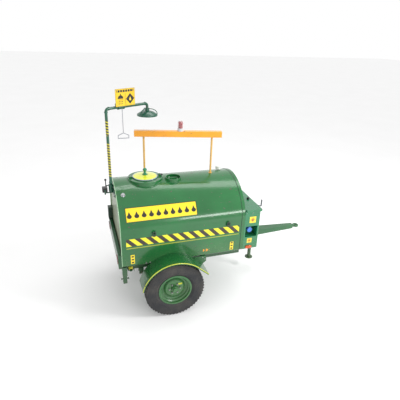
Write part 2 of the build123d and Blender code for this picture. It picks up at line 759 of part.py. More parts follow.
with BuildPart() as spray_plate:
    with Locations((head_at[0], head_at[1], head_base_z + 5)):
        Cylinder(head_radius - head_sheet - 0.3, 3, align=UP)
        for ring, holes in ((26, 6), (54, 12), (82, 18), (108, 24)):
            with PolarLocations(ring, holes):
                Hole(3.2, depth=10)
finish(spray_plate.part, "spray_plate")

with BuildPart() as sign_panel:
    with BuildSketch(arm_plane(sign_start + sign_width / 2, arm_z + sign_rise).offset(sign_offset + 0.2)):
        with Locations((0, sign_height / 2)):
            RectangleRounded(sign_width, sign_height, 5)
    extrude(amount=2.5)
finish(sign_panel.part, "sign_panel")

# ================================================================== front cabinet
cabinet_depth = cabinet_length - 1
cabinet_height = cabinet_top_z - cabinet_base_z
flange = 18
lid_hinge_x = shell_end + 9
lid_hinge_z = cabinet_top_z + 8
lid_pin = 5
knuckle = 8
knuckle_places = (-420, 0, 420)
knuckle_length = 46
recess_at = shell_end + recess_x
latch_x = cabinet_front - cabinet_sheet - flange - 10
latch_y = -210

with BuildPart() as cabinet_body:
    with Locations((shell_end + 1, 0, cabinet_base_z)):
        Box(cabinet_depth, tank_width, cabinet_height, align=(Align.MIN, Align.CENTER, Align.MIN))
    fillet(cabinet_body.edges().filter_by(Axis.Z).group_by(Axis.X)[-1], 8)
    with Locations((shell_end + 1 + cabinet_sheet, 0, cabinet_base_z + cabinet_sheet)):
        Box(
            cabinet_depth - 2 * cabinet_sheet,
            tank_width - 2 * cabinet_sheet,
            cabinet_height - 2 * cabinet_sheet,
            align=(Align.MIN, Align.CENTER, Align.MIN),
            mode=Mode.SUBTRACT,
        )
    with Locations((shell_end + 1 + cabinet_depth / 2, 0, cabinet_top_z + 1)):
        Box(
            cabinet_depth - 2 * flange - 2 * cabinet_sheet,
            tank_width - 2 * flange - 2 * cabinet_sheet,
            20,
            align=DOWN,
            mode=Mode.SUBTRACT,
        )
    # recess in the right-hand side for the power inlet
    with Locations((recess_at + recess_length / 2, -half, recess_z + recess_height / 2)):
        Box(
            recess_length + 2 * cabinet_sheet,
            recess_depth + cabinet_sheet,
            recess_height + 2 * cabinet_sheet,
            align=(Align.CENTER, Align.MIN, Align.CENTER),
        )
        Box(
            recess_length,
            recess_depth,
            recess_height,
            align=(Align.CENTER, Align.MIN, Align.CENTER),
            mode=Mode.SUBTRACT,
        )
    with Locations(Plane((shell_end + 1, pipe_y, pipe_z), x_dir=(0, 1, 0), z_dir=(1, 0, 0))):
        Cylinder(pipe_radius + 0.2, 20, mode=Mode.SUBTRACT)
    with Locations(Plane((shell_end + 1, pipe_y, suction_z), x_dir=(0, 1, 0), z_dir=(1, 0, 0))):
        Cylinder(pipe_radius + 0.2, 20, mode=Mode.SUBTRACT)
    # hinge knuckles along the back edge
    for y in knuckle_places:
        with Locations(Plane((lid_hinge_x, y, lid_hinge_z), x_dir=(1, 0, 0), z_dir=(0, 1, 0))):
            Cylinder(knuckle, knuckle_length)
        with Locations((lid_hinge_x, y, cabinet_top_z - 1)):
            Box(2 * knuckle, knuckle_length, lid_hinge_z - cabinet_top_z + 1, align=UP)
        with Locations(Plane((lid_hinge_x, y, lid_hinge_z), x_dir=(1, 0, 0), z_dir=(0, 1, 0))):
            Cylinder(lid_pin + running, knuckle_length + 2, mode=Mode.SUBTRACT)
finish(cabinet_body.part, "cabinet_body")

lid_sheet = 3
lip = 24
lid_top_z = lid_hinge_z + lid_pin
with BuildPart() as cabinet_lid:
    lid_length = cabinet_front + lid_overhang - lid_hinge_x
    lid_half = half + 6
    with Locations((lid_hinge_x, 0, lid_top_z)):
        Box(lid_length, 2 * lid_half, lip + lid_sheet, align=(Align.MIN, Align.CENTER, Align.MAX))
    fillet(cabinet_lid.edges().filter_by(Axis.Z).group_by(Axis.X)[-1], 10)
    fillet(cabinet_lid.faces().sort_by(Axis.Z)[-1].edges().filter_by(Axis.Y).sort_by(Axis.X)[-1], 2)
    with Locations((lid_hinge_x - 1, 0, lid_top_z - lid_sheet)):
        Box(
            lid_length + 1 - lid_sheet,
            2 * (lid_half - lid_sheet),
            lip + lid_sheet,
            align=(Align.MIN, Align.CENTER, Align.MAX),
            mode=Mode.SUBTRACT,
        )
    with Locations((lid_hinge_x - 20, 0, lid_top_z + 5)):
        Box(32, 2 * lid_half + 2, lip + 20, align=(Align.MIN, Align.CENTER, Align.MAX), mode=Mode.SUBTRACT)
    # plain strip back to the pin, notched for the knuckles
    with Locations((lid_hinge_x, 0, lid_top_z)):
        Box(20, 2 * (half - 20), lid_sheet, align=(Align.MIN, Align.CENTER, Align.MAX))
    for y in knuckle_places:
        with Locations((lid_hinge_x, y, lid_hinge_z)):
            Box(2 * knuckle + 6, knuckle_length + 4, 30, mode=Mode.SUBTRACT)
    with Locations(Plane((lid_hinge_x, 0, lid_hinge_z), x_dir=(1, 0, 0), z_dir=(0, 1, 0))):
        Cylinder(lid_pin, 2 * (half - 20))
    with Locations((latch_x, latch_y, lid_top_z + 5)):
        Hole(5 + running, depth=30)
finish(cabinet_lid.part, "cabinet_lid")

with BuildPart() as cabinet_latch:
    # knob above the lid, shaft through it, and a cam that turns forward under the cabinet's flange
    with Locations((latch_x, latch_y, lid_top_z + 0.3)):
        Cylinder(20, 7, align=UP)
        Cylinder(17, 26, align=UP)
    fillet(cabinet_latch.edges().filter_by(GeomType.CIRCLE).group_by(Axis.Z)[-1], 4)
    with Locations((latch_x, latch_y, lid_top_z + 1)):
        Cylinder(5, lid_top_z - cabinet_top_z + 16, align=DOWN)
    with Locations((latch_x, latch_y + 7, cabinet_top_z - cabinet_sheet - 6)):
        Box(14, 30, 5, align=(Align.CENTER, Align.MAX, Align.MAX))
finish(cabinet_latch.part, "cabinet_latch")

inlet_x = recess_at + recess_length / 2 + 4
inlet_z = recess_z + recess_height / 2 - 6
inlet_back = -half + recess_depth
inlet_reach = 58
inlet_radius = 31
flap_radius = 36
flap_hinge_z = inlet_z + flap_radius + 6
with BuildPart() as power_inlet:
    # round shrouded inlet with three pins inside
    with Locations(Plane((inlet_x, inlet_back, inlet_z), x_dir=(1, 0, 0), z_dir=(0, -1, 0))):
        Cylinder(40, 7, align=UP)
        Cylinder(inlet_radius, inlet_reach, align=UP)
        with Locations((0, 0, 10)):
            Cylinder(inlet_radius - 4, inlet_reach, align=UP, mode=Mode.SUBTRACT)
        with PolarLocations(11, 3):
            Cylinder(2.5, inlet_reach - 14, align=UP)
    for ear in SIDES:
        with Locations((inlet_x + ear * 14, inlet_back - inlet_reach - 3, flap_hinge_z)):
            with Locations(Plane((0, 0, 0), x_dir=(0, 1, 0), z_dir=(1, 0, 0))):
                Cylinder(6, 6)
            with Locations((0, 5.5, 0)):
                Box(6, 9, flap_hinge_z - inlet_z - inlet_radius + 4, align=DOWN)
            with Locations((0, 7, -8)):
                Box(6, 12, 10)
    with Locations(Plane((inlet_x, inlet_back - inlet_reach - 3, flap_hinge_z), x_dir=(0, 1, 0), z_dir=(1, 0, 0))):
        Cylinder(3 + running, 60, mode=Mode.SUBTRACT)
finish(power_inlet.part, "power_inlet")

with BuildPart() as inlet_flap:
    with Locations(Plane((inlet_x, inlet_back - inlet_reach - 3, inlet_z), x_dir=(1, 0, 0), z_dir=(0, -1, 0))):
        Cylinder(flap_radius, 6, align=UP)
    fillet(inlet_flap.edges().filter_by(GeomType.CIRCLE).group_by(Axis.Y)[0], 3)
    with Locations((inlet_x, inlet_back - inlet_reach - 6, flap_hinge_z - 9)):
        Box(18, 6, 24)
    with Locations(Plane((inlet_x, inlet_back - inlet_reach - 3, flap_hinge_z), x_dir=(0, 1, 0), z_dir=(1, 0, 0))):
        Cylinder(3, 36)
        Cylinder(5.5, 18)
finish(inlet_flap.part, "inlet_flap")

pump_x = shell_end + 92
with BuildPart() as pump_set:
    # close-coupled electric pump standing on the cabinet's floor
    with Locations(Plane((pump_x, pipe_y, suction_z + 4), x_dir=(1, 0, 0), z_dir=(0, -1, 0))):
        Cylinder(46, 70)
        with Locations((0, 0, 30)):
            Cylinder(42, 190, align=UP)
    with Locations((pump_x, pipe_y - 60, cabinet_base_z + cabinet_sheet)):
        Box(90, 240, suction_z - 36 - cabinet_base_z - cabinet_sheet, align=UP)
finish(pump_set.part, "pump_set")

with BuildPart() as pipework:
    # suction stub from the tank, and the delivery pipe that runs up through it to the mast
    with BuildSketch(Plane.YZ.offset(rear + tank_length - 60)):
        with Locations((pipe_y, suction_z)):
            Circle(pipe_radius)
            Circle(pipe_radius - 3, mode=Mode.SUBTRACT)
    extrude(until=None, amount=shell_end - rear - tank_length + 60 + 92 - 48)
    with BuildLine():
        FilletPolyline(
            (pump_x, pipe_y, suction_z + 52),
            (pump_x, pipe_y, pipe_z),
            (rear + 90, pipe_y, pipe_z),
            (rear + 90, pipe_y, outlet_z),
            (rear + 90, mast_y, outlet_z),
            (rear + rear_inset, mast_y, outlet_z),
            radius=45,
        )
    with BuildSketch(Plane((pump_x, pipe_y, suction_z + 52))):
        Circle(pipe_radius)
        Circle(pipe_radius - 3, mode=Mode.SUBTRACT)
    sweep()
finish(pipework.part, "pipework")

with BuildPart() as control_box:
    # pump switchgear on the left rear corner of the tank
    with Locations((rear + rear_inset - 0.2, half - 66, 900)):
        Box(62, 96, 180, align=(Align.MAX, Align.CENTER, Align.MIN))
    fillet(control_box.edges().filter_by(Axis.X), 8)
    fillet(control_box.faces().sort_by(Axis.X)[0].edges(), 3)
finish(control_box.part, "control_box")

# ================================================================== lamps, lugs and drain
with BuildPart() as side_lamps:
    for side in SIDES:
        with BuildSketch(Plane((shell_end + 86, side * half, cabinet_base_z + 27), x_dir=(1, 0, 0), z_dir=(0, side, 0))):
            SlotOverall(92, 42)
        extrude(amount=16)
    fillet(side_lamps.faces().sort_by(Axis.Y)[0].edges() + side_lamps.faces().sort_by(Axis.Y)[-1].edges(), 6)
finish(side_lamps.part, "side_lamps")

with BuildPart() as tail_lamps:
    for side in SIDES:
        with BuildSketch(Plane((rear - bumper_depth, side * (half - 90), 790), x_dir=(0, 1, 0), z_dir=(-1, 0, 0))):
            RectangleRounded(120, 72, 8)
        extrude(amount=9)
    fillet(tail_lamps.faces().group_by(Axis.X)[0].edges(), 3)
finish(tail_lamps.part, "tail_lamps")

lug_places = (403, 1381)
lug_z = 1145
lug_gap = 12
lug_sheet = 12
lug_bore = 12
with BuildPart() as lashing_lugs:
    # each ring stands off the tank on a welded foot, so that a hook goes through it
    for side in SIDES:
        for x in lug_places:
            with BuildSketch(upright(rear + x, side * (half + lug_gap), lug_z)):
                SlotOverall(72, 46, rotation=90)
                with Locations((0, 11)):
                    Circle(lug_bore, mode=Mode.SUBTRACT)
            extrude(amount=-side * lug_sheet)
            with Locations((rear + x, side * (half + lug_gap / 2), lug_z - 20)):
                Box(36, lug_gap, 26)
finish(lashing_lugs.part, "lashing_lugs")

drain_x = rear + 106
drain_y = -half + 62
drain_z = 664
drain_bore = 17
with BuildPart() as drain_valve:
    with Locations((drain_x, drain_y, drain_z)):
        Cylinder(24, tank_base_z - drain_z - 0.2, align=UP)
        Box(64, 58, 62)
    fillet(drain_valve.edges().filter_by(Axis.Z), 6)
    with Locations(Plane((drain_x, drain_y - 28, drain_z), x_dir=(1, 0, 0), z_dir=(0, -1, 0))):
        Cylinder(24, 30, align=UP)
        with Locations((0, 0, -25)):
            Cylinder(drain_bore, 60, align=UP, mode=Mode.SUBTRACT)
    with Locations(Plane((drain_x + 20, drain_y, drain_z), x_dir=(0, 1, 0), z_dir=(1, 0, 0))):
        Cylinder(6 + running, 30, align=UP, mode=Mode.SUBTRACT)
finish(drain_valve.part, "drain_valve")

with BuildPart() as drain_lever:
    with Locations(Plane((drain_x + 21, drain_y, drain_z), x_dir=(0, 1, 0), z_dir=(1, 0, 0))):
        Cylinder(6, 20, align=UP)
    with BuildSketch(Plane((drain_x + 34, drain_y, drain_z), x_dir=(0, 1, 0), z_dir=(1, 0, 0))):
        SlotCenterPoint((-40, 0), (0, 0), 20)
    extrude(amount=5)
finish(drain_lever.part, "drain_lever")

# ================================================================== fenders
front_at = radians(fender_front_angle)
tail_end = (
    fender_radius * cos(front_at) + fender_tail * sin(front_at),
    fender_radius * sin(front_at) - fender_tail * cos(front_at),
)
# the gusset starts where the tail's straight line passes under the tank
gusset_top = tank_base_z - axle_z - 1
gusset_front = 471
run_in = (fender_radius * sin(front_at) - gusset_top) / cos(front_at)
with BuildPart() as fenders:
    for side in SIDES:
        # the outer edge of each fender, and the face of the tank that its inner edge meets
        outer_y = side * (half + fender_width)
        inner_y = side * half
        for start_y, depth, width in (
            (inner_y, side * fender_width, fender_sheet),
            (outer_y, -side * fender_sheet, 14),
        ):
            with BuildSketch(upright(wheel_x, start_y, axle_z)):
                with BuildLine():
                    turn = fender_front_angle - fender_rear_angle
                    crown = CenterArc((0, 0), fender_radius, fender_rear_angle, turn)
                    under = CenterArc((0, 0), fender_radius - width, fender_rear_angle, turn)
                    straight = Vector(fender_tail * sin(front_at), -fender_tail * cos(front_at))
                    Polyline(crown @ 1, crown @ 1 + straight, under @ 1 + straight, under @ 1)
                    Line(crown @ 0, under @ 0)
                make_face()
            extrude(amount=-depth)
        # gusset from the tank's edge down to the tail, and the outrigger that carries it
        with BuildSketch(upright(wheel_x, inner_y, axle_z)):
            Polygon(
                (fender_radius * cos(front_at) + run_in * sin(front_at), gusset_top),
                tail_end,
                (gusset_front, gusset_top - 79),
                (gusset_front, gusset_top),
                align=None,
            )
        extrude(amount=-side * 4)
        outrigger = (wheel_x + gusset_front - 34, side * (half - 40), tank_base_z - 1)
        with Locations(outrigger):
            Box(46, 88, 78, align=DOWN)
finish(fenders.part, "fenders")

# ================================================================== wheels
bead_radius = 203
flange_y = rim_width / 2
wheel_axis = Axis((wheel_x, 0, axle_z), (0, 1, 0))
for side, word in ((1, "left"), (-1, "right")):

    def at(outward, radius):
        """Point of a wheel section, measured out from the wheel's centre plane."""
        return (side * (wheel_y + outward), axle_z + radius)

    with BuildPart() as tyre:
        edge = tyre_width / 2
        with BuildSketch(Plane.YZ.offset(wheel_x)):
            with BuildLine():
                tread = ThreePointArc(at(-72, 382), at(0, wheel_radius), at(72, 382))
                shoulder_a = ThreePointArc(at(72, 382), at(82, 366), at(85, 345))
                wall_a = ThreePointArc(at(85, 345), at(edge, 292), at(66, 222))
                bead_a = Polyline(at(66, 222), at(66, bead_radius + 0.4), at(46, bead_radius + 0.4))
                inner_a = ThreePointArc(at(46, bead_radius + 0.4), at(74, 292), at(62, 362))
                under = ThreePointArc(at(62, 362), at(0, 372), at(-62, 362))
                inner_b = ThreePointArc(at(-62, 362), at(-74, 292), at(-46, bead_radius + 0.4))
                bead_b = Polyline(at(-46, bead_radius + 0.4), at(-66, bead_radius + 0.4), at(-66, 222))
                wall_b = ThreePointArc(at(-66, 222), at(-edge, 292), at(-85, 345))
                ThreePointArc(at(-85, 345), at(-82, 366), at(-72, 382))
            make_face()
        revolve(axis=wheel_axis)
        for groove in (-34, 0, 34):
            with BuildSketch(Plane.YZ.offset(wheel_x)):
                with Locations(at(groove, wheel_radius)):
                    Rectangle(8, 18)
            revolve(axis=wheel_axis, mode=Mode.SUBTRACT)
    finish(tyre.part, f"tyre_{word}")

    with BuildPart() as rim:
        # rolled rim with a drop centre, and a stepped dish out to the nut face
        with BuildSketch(Plane.YZ.offset(wheel_x)):
            with BuildLine():
                Polyline(
                    at(-flange_y, rim_radius),
                    at(-flange_y + 7, rim_radius),
                    at(-flange_y + 8, bead_radius),
                    at(-42, bead_radius),
                    at(-30, 184),
                    at(30, 184),
                    at(42, bead_radius),
                    at(flange_y - 8, bead_radius),
                    at(flange_y - 7, rim_radius),
                    at(flange_y, rim_radius),
                    at(flange_y - 1, bead_radius - 6),
                    at(46, bead_radius - 6),
                    at(34, 178),
                    at(16, 178),
                    at(2, 160),
                    at(2, 142),
                    at(26, 118),
                    at(26, 46),
                    at(19, 46),
                    at(19, 115),
                    at(-5, 139),
                    at(-5, 163),
                    at(7, 178),
                    at(-34, 178),
                    at(-46, bead_radius - 6),
                    at(-flange_y + 1, bead_radius - 6),
                    close=True,
                )
            make_face()
        revolve(axis=wheel_axis)
        disc_plane = Plane((wheel_x, side * wheel_y, axle_z), x_dir=(1, 0, 0), z_dir=(0, side, 0))
        with Locations(disc_plane.offset(40)):
            with PolarLocations(nut_circle / 2, nut_count):
                Hole(8, depth=30)
    finish(rim.part, f"rim_{word}")

    with BuildPart() as hub:
        with BuildSketch(Plane.YZ.offset(wheel_x)):
            with BuildLine():
                Polyline(
                    at(-70, stub_radius + running),
                    at(-70, 44),
                    at(3, 44),
                    at(3, nut_circle / 2 + 18),
                    at(18.8, nut_circle / 2 + 18),
                    at(18.8, 43),
                    at(58, 40),
                    at(58, 32),
                    at(76, 26),
                    at(76, 0),
                    at(54, 0),
                    at(54, stub_radius + running),
                    close=True,
                )
            make_face()
        revolve(axis=wheel_axis)
    finish(hub.part, f"hub_{word}")

    with BuildPart() as wheel_nuts:
        with Locations(disc_plane.offset(18.9)):
            with PolarLocations(nut_circle / 2, nut_count):
                Cylinder(6.5, 34, align=UP)
        with BuildSketch(disc_plane.offset(26.1)):
            with PolarLocations(nut_circle / 2, nut_count):
                RegularPolygon(12, 6)
        extrude(amount=16)
    finish(wheel_nuts.part, f"wheel_nuts_{word}")

# ================================================================== drawbar, tow eye and jack
drawbar_root_x = rear + tank_length - 34
drawbar_z = tank_base_z - 11 - drawbar_root_height / 2
drawbar_tip_z = drawbar_z - 6
drawbar_wall = 6
with BuildPart() as drawbar:
    # welded box that tapers in width and depth from the chassis to the eye
    for gap, mode in ((0, Mode.ADD), (drawbar_wall, Mode.SUBTRACT)):
        with BuildSketch(Plane.YZ.offset(drawbar_root_x + gap)):
            with Locations((0, drawbar_z)):
                Rectangle(drawbar_root_width - 2 * gap, drawbar_root_height - 2 * gap)
        with BuildSketch(Plane.YZ.offset(rear + drawbar_end_x - gap)):
            with Locations((0, drawbar_tip_z)):
                Rectangle(drawbar_tip_width - 2 * gap, drawbar_tip_height - 2 * gap)
        loft(mode=mode)
    # sleeve through the beam for the jack
    with Locations((rear + jack_x, 0, drawbar_z)):
        Cylinder(jack_radius + 6, drawbar_root_height + 16)
        Cylinder(jack_radius + 0.1, drawbar_root_height + 40, mode=Mode.SUBTRACT)
finish(drawbar.part, "drawbar")

eye_height = 30
with BuildPart() as tow_eye:
    with Locations((rear + eye_x, 0, drawbar_tip_z)):
        Cylinder(eye_radius, eye_height)
    with Locations((rear + drawbar_end_x + 0.2, 0, drawbar_tip_z)):
        Box(eye_x - drawbar_end_x - eye_bore, 48, eye_height, align=(Align.MIN, Align.CENTER, Align.CENTER))
        Box(10, 58, 56, align=(Align.MIN, Align.CENTER, Align.CENTER))
    fillet(tow_eye.edges().filter_by(GeomType.CIRCLE), 7)
    with Locations((rear + eye_x, 0, drawbar_tip_z)):
        Cylinder(eye_bore, 60, mode=Mode.SUBTRACT)
finish(tow_eye.part, "tow_eye")

jack_at = (rear + jack_x, 0)
jack_wall = 5
jack_tube_base = drawbar_z - drawbar_root_height / 2 - 60
inner_radius = jack_radius - jack_wall - running
screw_radius = 8
nut_z = jack_foot_z + 600
with BuildPart() as jack_tube:
    with Locations((*jack_at, jack_tube_base)):
        Cylinder(jack_radius, jack_top_z - jack_tube_base, align=UP)
        Cylinder(jack_radius - jack_wall, jack_top_z - jack_tube_base - 12, align=UP, mode=Mode.SUBTRACT)
    with Locations((*jack_at, jack_top_z)):
        Cylinder(jack_radius + 3, 16, align=DOWN)
        Hole(screw_radius + running, depth=30)
    with Locations((*jack_at, drawbar_z + drawbar_root_height / 2 + 9)):
        Cylinder(jack_radius + 12, 8, align=UP)
    with Locations((*jack_at, jack_tube_base)):
        Cylinder(jack_radius - jack_wall, jack_top_z - jack_tube_base - 16, align=UP, mode=Mode.SUBTRACT)
finish(jack_tube.part, "jack_tube")

with BuildPart() as jack_leg:
    with Locations((*jack_at, jack_foot_z)):
        Cylinder(jack_foot_radius, 10, align=UP)
        Cylinder(inner_radius, nut_z - jack_foot_z, align=UP)
        with Locations((0, 0, 14)):
            Cylinder(inner_radius - 5, nut_z - jack_foot_z - 14 - 20, align=UP, mode=Mode.SUBTRACT)
        Cylinder(screw_radius + running, 1000, align=UP, mode=Mode.SUBTRACT)
    with Locations((*jack_at, jack_foot_z)):
        Cylinder(inner_radius - 2, 14, align=UP)
    fillet(jack_leg.faces().sort_by(Axis.Z)[0].edges(), 3)
finish(jack_leg.part, "jack_leg")

crank_angle = -51
crank_reach = 112
crank_rod = 7
crank_dir = (cos(radians(crank_angle)), sin(radians(crank_angle)))
grip_at = (jack_at[0] + crank_reach * crank_dir[0], jack_at[1] + crank_reach * crank_dir[1])
crank_z = jack_top_z + 18
with BuildPart() as jack_crank:
    # lead screw, arm and upright grip
    with Locations((*jack_at, jack_foot_z + 60)):
        Cylinder(screw_radius, crank_z - jack_foot_z - 60, align=UP)
    with Locations((*jack_at, crank_z - 10)):
        Cylinder(13, 20, align=UP)
    arm_start = Plane((*jack_at, crank_z), x_dir=(0, 0, 1), z_dir=(*crank_dir, 0))
    with Locations(arm_start):
        Cylinder(crank_rod, crank_reach, align=UP)
    with Locations((*grip_at, crank_z)):
        Sphere(crank_rod)
        Cylinder(crank_rod, 20, align=UP)
        with Locations((0, 0, 12)):
            Cylinder(11, 92, align=UP)
    fillet(jack_crank.edges().filter_by(GeomType.CIRCLE).group_by(Axis.Z)[-1], 4)
finish(jack_crank.part, "jack_crank")

# ================================================================== rear legs
for side, word in ((1, "left"), (-1, "right")):
    with BuildPart() as rear_leg:
        with Locations((rear + 30, side * (half - 31), leg_base_z)):
            Box(leg_section, leg_section, tank_base_z - 6 - leg_base_z, align=UP)
            Box(leg_section - 8, leg_section - 8, 300, align=UP, mode=Mode.SUBTRACT)
            Box(leg_section - 2, leg_section - 2, 6, align=UP)
        with Locations(Plane((rear + 30, side * (half - 31), leg_base_z + 60), x_dir=(0, 1, 0), z_dir=(1, 0, 0))):
            Cylinder(8, 96)
            with Locations((0, 0, 45), (0, 0, -45)):
                Cylinder(14, 6)
    finish(rear_leg.part, f"rear_leg_{word}")
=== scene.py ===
# %% [markdown]
# # A towable safety shower
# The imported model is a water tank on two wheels, with a drench shower on a mast above it. This lesson
# gives every CAD piece a worked finish, and adds what a welder, a painter and a fitter leave behind:
# weld beads, bolts, beads along sheet edges, tyre lugs, lamp glasses.

# %% Load the frame
from math import atan2, cos, pi, radians, sin, sqrt

import bpy
from mathutils import Matrix, Vector


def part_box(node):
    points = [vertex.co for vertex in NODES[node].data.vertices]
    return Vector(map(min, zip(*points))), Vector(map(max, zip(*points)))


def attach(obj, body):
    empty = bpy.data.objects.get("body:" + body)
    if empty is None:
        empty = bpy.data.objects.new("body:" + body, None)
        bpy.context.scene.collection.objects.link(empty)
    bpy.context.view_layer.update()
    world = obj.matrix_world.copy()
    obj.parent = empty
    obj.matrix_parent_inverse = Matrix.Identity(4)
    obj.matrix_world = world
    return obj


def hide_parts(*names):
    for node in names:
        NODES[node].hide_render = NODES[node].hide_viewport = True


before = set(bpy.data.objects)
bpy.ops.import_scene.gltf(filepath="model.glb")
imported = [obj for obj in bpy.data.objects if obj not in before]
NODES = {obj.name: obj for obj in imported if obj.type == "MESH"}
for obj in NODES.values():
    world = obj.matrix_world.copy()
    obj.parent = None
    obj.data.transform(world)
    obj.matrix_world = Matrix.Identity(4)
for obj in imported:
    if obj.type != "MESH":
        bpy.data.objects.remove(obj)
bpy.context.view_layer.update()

# %% [markdown]
# ## The camera
# Someone standing behind and to the right of the trailer, with the lens above head height, sees the
# tank's long side and a sliver of its tail. Three turns give that view: yaw from +Y towards +X, pitch
# below the horizon, and a slight roll. The camera comes first, because every finish is judged in it.

# %% Camera
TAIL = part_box("tank_wrap")[0][0]
CAMERA_AT = Vector((TAIL - 0.3758, -4.4003, 3.4042))
YAW, PITCH, ROLL = 0.3387, 0.4302, 0.0411

camera_data = bpy.data.cameras.new("camera")
camera_data.lens = 33.04
camera_data.sensor_width = 36.0
camera_data.clip_end = 120.0
forward = Vector((sin(YAW) * cos(PITCH), cos(YAW) * cos(PITCH), -sin(PITCH)))
level = Vector((cos(YAW), -sin(YAW), 0))
over = level.cross(forward)
right = level * cos(ROLL) + over * sin(ROLL)
up = over * cos(ROLL) - level * sin(ROLL)
camera = bpy.data.objects.new("camera", camera_data)
camera.matrix_world = Matrix.Translation(CAMERA_AT) @ Matrix((right, up, -forward)).transposed().to_4x4()
bpy.context.collection.objects.link(camera)
bpy.context.scene.camera = camera
bpy.context.scene.view_settings.view_transform = "Standard"

# %% [markdown]
# ## Floor and studio light
# Glossy enamel shows what surrounds it, so a bare sky would leave it flat. One broad soft lamp stands
# high on the near side, a second lies overhead to draw the pale bands along the tank's shoulder and
# crown, and the pale world fills the rest.


# %% Floor and lamps
def soft_lamp(name, at, towards, size, power):
    """An area lamp at a point, turned towards another."""
    data = bpy.data.lights.new(name, "AREA")
    data.shape = "RECTANGLE"
    data.size, data.size_y = size
    data.energy = power
    lamp = bpy.data.objects.new(name, data)
    lamp.location = at
    lamp.rotation_euler = (Vector(towards) - Vector(at)).to_track_quat("-Z", "Y").to_euler()
    bpy.context.collection.objects.link(lamp)


world = bpy.data.worlds.new("studio")
world.use_nodes = True
world.node_tree.nodes["Background"].inputs["Color"].default_value = (1.0, 1.0, 1.0, 1.0)
world.node_tree.nodes["Background"].inputs["Strength"].default_value = 1.0
bpy.context.scene.world = world
soft_lamp("key_lamp", (4.6, -3.4, 4.6), (-0.3, 0, 0.8), (1.6, 1.6), 210)
soft_lamp("top_lamp", (0.6, 0.9, 5.2), (0, 0, 1.0), (4.0, 1.2), 50)
soft_lamp("side_lamp", (1.9, -5.2, 1.75), (0.1, -0.5, 1.2), (2.6, 0.6), 60)

bpy.ops.mesh.primitive_plane_add(size=110, location=(0, 0, 0))
floor = bpy.context.object
floor.name = "floor"

# %% [markdown]
# ## Shader maths as sums
# A finish is arithmetic on places: where a stripe lies, how much dust has settled. Wiring Math nodes by
# hand hides that, so a small class wraps a socket and turns each expression into its nodes.


# %% The socket wrapper
class Wire:
    """One socket's value, so that shader maths reads as ordinary arithmetic."""

    def __init__(self, paint, socket):
        self.paint, self.socket = paint, socket

    def math(self, operation, *values):
        return self.paint.node("ShaderNodeMath", {"operation": operation}, values)

    def __add__(self, other):
        return self.math("ADD", self, other)

    def __sub__(self, other):
        return self.math("SUBTRACT", self, other)

    def __rsub__(self, other):
        return self.math("SUBTRACT", other, self)

    def __mul__(self, other):
        return self.math("MULTIPLY", self, other)

    def __truediv__(self, other):
        return self.math("DIVIDE", self, other)

    def __mod__(self, other):
        return self.math("FLOORED_MODULO", self, other)

    def __lt__(self, other):
        return self.math("LESS_THAN", self, other)

    def __gt__(self, other):
        return self.math("GREATER_THAN", self, other)

    def __or__(self, other):
        return self.math("MAXIMUM", self, other)

    def __and__(self, other):
        return self.math("MINIMUM", self, other)

    def __abs__(self):
        return self.math("ABSOLUTE", self)

    def __pow__(self, other):
        return self.math("POWER", self, other)

    __radd__ = __add__
    __rmul__ = __mul__

    def unit(self):
        """The value held between 0 and 1."""
        return (self | 0.0) & 1.0


class Paint:
    """A finish built up in layers: colour, roughness and height, each of which later layers change."""

    def __init__(self, name, colour, roughness=0.4, **shader):
        self.material = bpy.data.materials.new(name)
        self.material.use_nodes = True
        self.tree = self.material.node_tree
        self.shader = self.tree.nodes["Principled BSDF"]
        for socket, value in shader.items():
            self.shader.inputs[socket.replace("_", " ").title().replace("Ior", "IOR")].default_value = value
        self.place = self.node("ShaderNodeTexCoord", out="Object")
        split = self.tree.nodes.new("ShaderNodeSeparateXYZ")
        self.tree.links.new(self.place.socket, split.inputs[0])
        self.x, self.y, self.z = (Wire(self, split.outputs[axis]) for axis in "XYZ")
        self.colour, self.rough, self.height = colour, roughness, None
        self.drop = 0.0004

    def node(self, kind, settings=None, values=(), out=0):
        """Adds any node: its settings first, then the values or links of its sockets."""
        node = self.tree.nodes.new(kind)
        for setting, value in (settings or {}).items():
            setattr(node, setting, value)
        for key, value in values.items() if isinstance(values, dict) else enumerate(values):
            if isinstance(value, Wire):
                self.tree.links.new(value.socket, node.inputs[key])
            else:
                node.inputs[key].default_value = value
        return Wire(self, node.outputs[out])

    def noise(self, scale, detail=2.0, stretch=(1, 1, 1)):
        """Soft noise between 0 and 1, finer as scale grows; stretch squeezes it along an axis."""
        place = self.place
        if stretch != (1, 1, 1):
            place = self.node("ShaderNodeVectorMath", {"operation": "MULTIPLY"}, (place, stretch))
        return self.node("ShaderNodeTexNoise", {}, {"Vector": place, "Scale": scale, "Detail": detail})

    def mix(self, mask, under, over):
        return self.node("ShaderNodeMix", {"data_type": "RGBA"}, {0: mask, 6: under, 7: over}, out=2)

    def lay(self, mask, colour, roughness=None):
        """A layer of another colour, and its own roughness, where the mask is 1."""
        self.colour = self.mix(mask, self.colour, colour)
        if roughness is not None:
            self.rough = self.rough + mask * (roughness - self.rough)
        return self

    def emboss(self, height):
        self.height = height if self.height is None else self.height + height
        return self

    def done(self):
        """Joins the layers to the shader and gives the material."""
        for socket, value in (("Base Color", self.colour), ("Roughness", self.rough)):
            if isinstance(value, Wire):
                self.tree.links.new(value.socket, self.shader.inputs[socket])
            else:
                self.shader.inputs[socket].default_value = value
        if self.height is not None:
            bump = self.node("ShaderNodeBump", {}, {"Distance": self.drop, "Height": self.height})
            self.tree.links.new(bump.socket, self.shader.inputs["Normal"])
        return self.material


def tint(red, green, blue, light=1.0):
    """A linear colour from the 0-255 numbers of a paint chart."""
    channels = [(v / 255 / 12.92 if v < 11 else ((v / 255 + 0.055) / 1.055) ** 2.4) for v in (red, green, blue)]
    return (*[min(1.0, v * light) for v in channels], 1.0)


def between(value, low, high):
    return (value > low) * (value < high)


